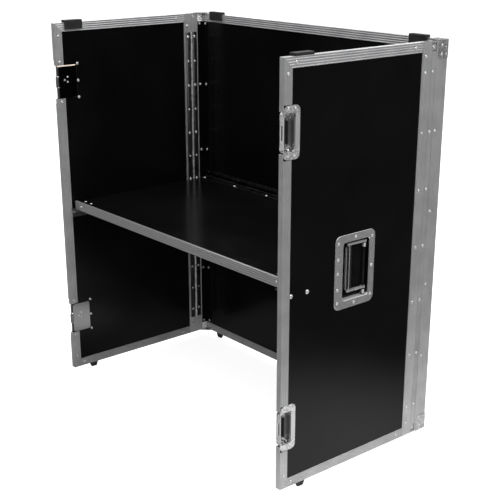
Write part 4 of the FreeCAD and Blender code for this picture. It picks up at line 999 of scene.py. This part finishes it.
# Painted shade: the handle dish goes near black deeper than its depths, and lit_sill paints its upward faces
# light.
handle_steel = lit_sill(recess_shaded_steel("zinc_handle_dish", 0, HANDLE_DEPTHS, HANDLE_SHADE_BLACK))
piece("handle_pressing", [dish], handle_steel, nodes=["handle_dish"])
flange_middle = sum(flange_z) / 2
handle_heads = [
    side_heads(face_x, [flange_y[0] + FROM_FLANGE], flange_middle + FRONT_ROWS, 1, HANDLE_HEAD),
    side_heads(face_x, [flange_y[1] - FROM_FLANGE], flange_middle + REAR_ROWS, 1, HANDLE_HEAD),
    side_heads(face_x, [sum(flange_y) / 2], inset(flange_z, FROM_FLANGE), 1, HANDLE_HEAD),
]
rivets("handle_dish_rivets", handle_heads)
paint("handle_rod", leaf_plating)
# Painted dark reflection: the bail is a darker copy of the zinc, its flat faces dark between bright edges.
bail_steel = bright_steel("zinc_bail", BAIL_REFLECTION_GREY, rough=(0.18, 0.30), metallic=0.6)
rounded_copy("handle_bail", "bent_bail", bail_steel, BAIL_EDGE, "handle")


def fluted_steel(name, low, high):
    """Plated steel with painted highlights on three ridges, at low, high and midway, and painted shade in the
    two flutes between.

    The share of painted shade follows the cosine of two whole turns from low to high along y.
    """
    finish = bright_steel(name, ZINC_BRIGHT, PRESSED_ROUGH, patch=PRESSED_PATCH)
    turns = ranged(finish, own_part(finish, 1), 0, 4 * math.pi, low, high)
    dark = ranged(finish, calculated(finish, "COSINE", turns), 0, 1, start=0.8, stop=0.2)
    return recoloured(finish, dark, FLUTE_PAINTED_SHADE)


def squared(wave):
    """A sine or cosine with its size raised to the oval's power, so that a ring bulges into its corners."""
    return np.sign(wave) * np.abs(wave) ** GRIP_OVAL_POWER


grip_low, grip_high = [np.array(corner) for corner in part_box("handle_grip")]
grip_middle, grip_half = (grip_low + grip_high) / 2, (grip_high - grip_low) / 2
share = np.linspace(-1, 1, GRIP_RINGS)[:, None]
swell = (1 - np.abs(share) ** GRIP_END_POWER) ** 0.5 * GRIP_END_SHRINK + 1 - GRIP_END_SHRINK
angles = full_turn(GRIP_SIDES)
across = squared(np.sin(angles))
flute = 1 - FLUTE_SHARE * (1 - np.cos(2 * np.pi * across)) / 2
rings = np.stack([swell * squared(np.cos(angles)) * flute, swell * across,
                  np.broadcast_to(share, (GRIP_RINGS, GRIP_SIDES))], -1)
grip = (grip_middle + rings * grip_half).reshape(-1, 3)
piece("oval_grip", [(grip, tube_faces(GRIP_RINGS, GRIP_SIDES))],
      fluted_steel("zinc_grip", grip_low[1], grip_high[1]), "handle", ["handle_grip"])

# Return springs: round steel wire wound on the handle's rod, one at each end, each with a straight leg
# that bears on the dish floor. They draw the handle back into its dish.
WIRE_RADIUS = 0.0007
WIRE_SIDES = 10
SPRING_TURNS = 5
SPRING_LENGTH = 0.010
TURN_POINTS = 28
LEG_POINTS = 8


def wound_wire(points):
    """A round wire along a row of points: its ring is turned square to the path at each point."""
    ahead = np.gradient(points, axis=0)
    ahead /= np.linalg.norm(ahead, axis=1, keepdims=True)
    across = np.cross(ahead, (0, 0, 1.0))
    across /= np.linalg.norm(across, axis=1, keepdims=True)
    rise = np.cross(across, ahead)
    angles = full_turn(WIRE_SIDES)[:, None]
    ring = across[:, None, :] * np.cos(angles) + rise[:, None, :] * np.sin(angles)
    tube = points[:, None, :] + ring * WIRE_RADIUS
    return tube.reshape(-1, 3), turned_over(tube_faces(len(points), WIRE_SIDES))


spring_low, spring_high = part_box("handle_springs")
rod = middle("handle_rod")
coil_radius = spring_high.y - rod.y - WIRE_RADIUS
turns = np.linspace(0, 2 * np.pi * SPRING_TURNS, SPRING_TURNS * TURN_POINTS)
drop = (SPRING_LENGTH - 2 * WIRE_RADIUS) * turns / turns[-1]
springs = []
for top_end in (spring_low.z + SPRING_LENGTH, spring_high.z):
    first = top_end - WIRE_RADIUS
    coil = np.stack([rod.x - coil_radius * np.cos(turns), rod.y + coil_radius * np.sin(turns), first - drop],
                    1)
    leg = np.linspace((coil[0, 0], spring_low.y, first), (coil[0, 0], rod.y - WIRE_RADIUS, first), LEG_POINTS)
    springs.append(wound_wire(np.concatenate([leg, coil])))
piece("handle_return_springs", springs, zinc_bright, nodes=["handle_springs"])

# Rubber: moulded black rubber, as a ribbed liner on the floor of the handle's dish, L-shaped pads over the
# top edges and tapered feet under the bottom ones.
RUBBER_BLACK = (0.009, 0.009, 0.0095, 1)
RUBBER_GREY = (0.019, 0.019, 0.020, 1)
RUBBER_EDGE = 0.0012
RUBBER_SEGMENTS = 4
LINER_BLACK = (0.0022, 0.0022, 0.0023, 1)
LINER_GREY = (0.0045, 0.0045, 0.0047, 1)
LINER_EDGE = 0.0003


def moulded_rubber(name, colours, shine):
    """Matte rubber with a dusty bloom and a fine moulded grain."""
    return worn_surface(name, colours, rough=(0.55, 0.75), patch=(55.0, 5.0), grain=(520.0, 3.0),
                        raised=(0.35, 0.0002), Specular_IOR_Level=shine)


liner_corners = oblong((liner_low.x, liner_high.x), (liner_low.y, liner_high.y))
liner_section = ribbed_outline(liner_corners, [False, True, False, False], LINER_EDGE)
piece("ribbed_liner", [extruded(liner_section, 2, liner_low.z, liner_high.z)],
      moulded_rubber("liner_rubber", (LINER_BLACK, LINER_GREY), shine=0.15),
      nodes=["handle_liner"])
rubber = moulded_rubber("moulded_rubber", (RUBBER_BLACK, RUBBER_GREY), shine=0.35)
for node, made in (("top_pads", "moulded_top_pads"), ("rubber_feet", "moulded_feet")):
    rounded_copy(node, made, rubber, RUBBER_EDGE, segments=RUBBER_SEGMENTS)

# Studio: a pale floor, soft lights from above and the sides, and what the bright metal sees around it. The
# dome and the pools of light on the floor show in reflections only. A pool is given by its centre, the
# stretch of its distances, the near and far distance, and its light at either.
FLOOR_HALF = 14.0
FLOOR_PALE = (0.45, 0.45, 0.45, 1)
POOL_DROP = 0.001
RIGHT_POOL = ((0.58, -0.05, 0), (1.4, 1.2, 0), 0.15, 0.80, 1.10, 0.06)
MIDDLE_POOL = ((-0.04, -0.02, 0), (3.0, 3.0, 0), 0.15, 0.60, 0.55, 0.0)
LEFT_POOL = ((-0.30, 0.05, 0), (1.8, 1.8, 0), 0.10, 0.60, 0.15, 0.0)
DOME_RADIUS = 9.0
DOME_GLOW = ((0, 0, 0), (0, 0, 1), DOME_RADIUS * 0.35, DOME_RADIUS * 0.85, 0.075, 1.5)
DOME_RINGS = 13
DOME_SIDES = 48
DOME_RISE = (-0.05, np.pi / 2 - 0.01)
WHITE = (1, 1, 1, 1)
STUDIO_LIGHTS = {"overhead_light": ((0.6, -0.6, 3.4), (0, 0, 0.5), 2.4, 60),
                 "right_hand_light": ((3.0, 0.6, 2.6), (0.42, 0, 0.5), 1.6, 32),
                 "left_hand_light": ((-3.0, 1.0, 2.4), (-0.42, 0, 0.5), 1.6, 50),
                 "rear_light": ((-0.6, 3.2, 2.4), (0, 0.22, 0.5), 1.6, 30)}


def stage_sheet(name, points, faces, finish):
    """A surface of the studio, which isn't part of the booth."""
    mesh = bpy.data.meshes.new(name)
    mesh.from_pydata(points, [], faces)
    mesh.materials.append(finish)
    made = new_object(name, mesh)
    return made


def glow_material(name, *pools):
    """The sum of pools of light.

    Each goes smoothly from its near light to its far light as the distance from its centre, with x, y and z
    first multiplied by those of its stretch, goes from near to far.
    """
    finish = new_finish(name)
    finish.node_tree.nodes.remove(finish.node_tree.nodes["Principled BSDF"])
    place = shader_node(finish, "TexCoord", "Object")
    total = 0.0
    for centre, stretch, near, far, near_light, far_light in pools:
        away = shader_node(finish, "VectorMath", "Vector", {0: place, 1: centre}, operation="SUBTRACT")
        share = shader_node(finish, "VectorMath", "Vector", {0: away, 1: stretch}, operation="MULTIPLY")
        reach = shader_node(finish, "VectorMath", "Value", {0: share}, operation="LENGTH")
        level = ranged(finish, reach, near_light, far_light, near, far, pace="SMOOTHSTEP")
        total = calculated(finish, "ADD", total, level)
    glow = shader_node(finish, "Emission", "Emission", {"Strength": total})
    finish.node_tree.links.new(glow, finish.node_tree.nodes["Material Output"].inputs["Surface"])
    return finish


def unseen(sheet, lights):
    """Hides a stage surface from all but reflections, though it may also light the booth."""
    sheet.visible_camera = False
    sheet.visible_diffuse = lights
    sheet.visible_shadow = False
    sheet.visible_transmission = False


square = oblong((-FLOOR_HALF, FLOOR_HALF), (-FLOOR_HALF, FLOOR_HALF))
floor_paint = new_finish("studio_floor", Base_Color=FLOOR_PALE, Roughness=0.9, Emission_Color=WHITE,
                         Emission_Strength=0.92)
floor = stage_sheet("studio_floor", [(x, y, 0) for x, y in square], [(0, 1, 2, 3)], floor_paint)
floor.visible_glossy = False
pool = stage_sheet("floor_in_reflections", [(x, y, -POOL_DROP) for x, y in square], [(0, 1, 2, 3)],
                   glow_material("pool_of_light", RIGHT_POOL, MIDDLE_POOL, LEFT_POOL))
unseen(pool, False)
turn, rise = np.meshgrid(full_turn(DOME_SIDES), np.linspace(*DOME_RISE, DOME_RINGS))
dome_points = np.stack([np.cos(turn) * np.cos(rise), np.sin(turn) * np.cos(rise), np.sin(rise)], -1)
dome = stage_sheet("room_in_reflections", (dome_points * DOME_RADIUS).reshape(-1, 3).tolist(),
                   tube_faces(DOME_RINGS, DOME_SIDES)[:-2], glow_material("room_light", DOME_GLOW))
unseen(dome, True)
world = bpy.data.worlds.new("studio")
world.use_nodes = True
world.node_tree.nodes["Background"].inputs["Color"].default_value = WHITE
world.node_tree.nodes["Background"].inputs["Strength"].default_value = 1.0
bpy.context.scene.world = world
for name, (place, target, size, power) in STUDIO_LIGHTS.items():
    lamp = bpy.data.lights.new(name, "AREA")
    lamp.size = size
    lamp.energy = power
    light = new_object(name, lamp)
    light.location = place
    x, y, z = np.subtract(target, place)
    light.rotation_euler = (math.atan2(math.hypot(x, y), -z), 0, math.atan2(-x, y))

# Camera: at the photograph's height and bearing, with the small upward shift of its framing. The angles are
# in degrees, and the focal length and the middle in pixels of the photograph.
CAMERA_PLACE = (1.8505, -1.5098, 1.1509)
CAMERA_BEARING = 50.0734
CAMERA_DROP = 19.8761
IMAGE_SIDE = 500
FOCAL_PIXELS = 1043.34
MIDDLE_PIXELS = (249.18, 292.03)
SENSOR = 36.0
lens = bpy.data.cameras.new("photo_camera")
lens.sensor_width = SENSOR
lens.lens = FOCAL_PIXELS / IMAGE_SIDE * SENSOR
lens.shift_x = (IMAGE_SIDE / 2 - MIDDLE_PIXELS[0]) / IMAGE_SIDE
lens.shift_y = (MIDDLE_PIXELS[1] - IMAGE_SIDE / 2) / IMAGE_SIDE
camera = new_object("photo_camera", lens)
camera.location = CAMERA_PLACE
camera.rotation_euler = (math.radians(90 - CAMERA_DROP), 0, math.radians(CAMERA_BEARING))
bpy.context.scene.camera = camera
bpy.context.scene.view_settings.view_transform = "Standard"
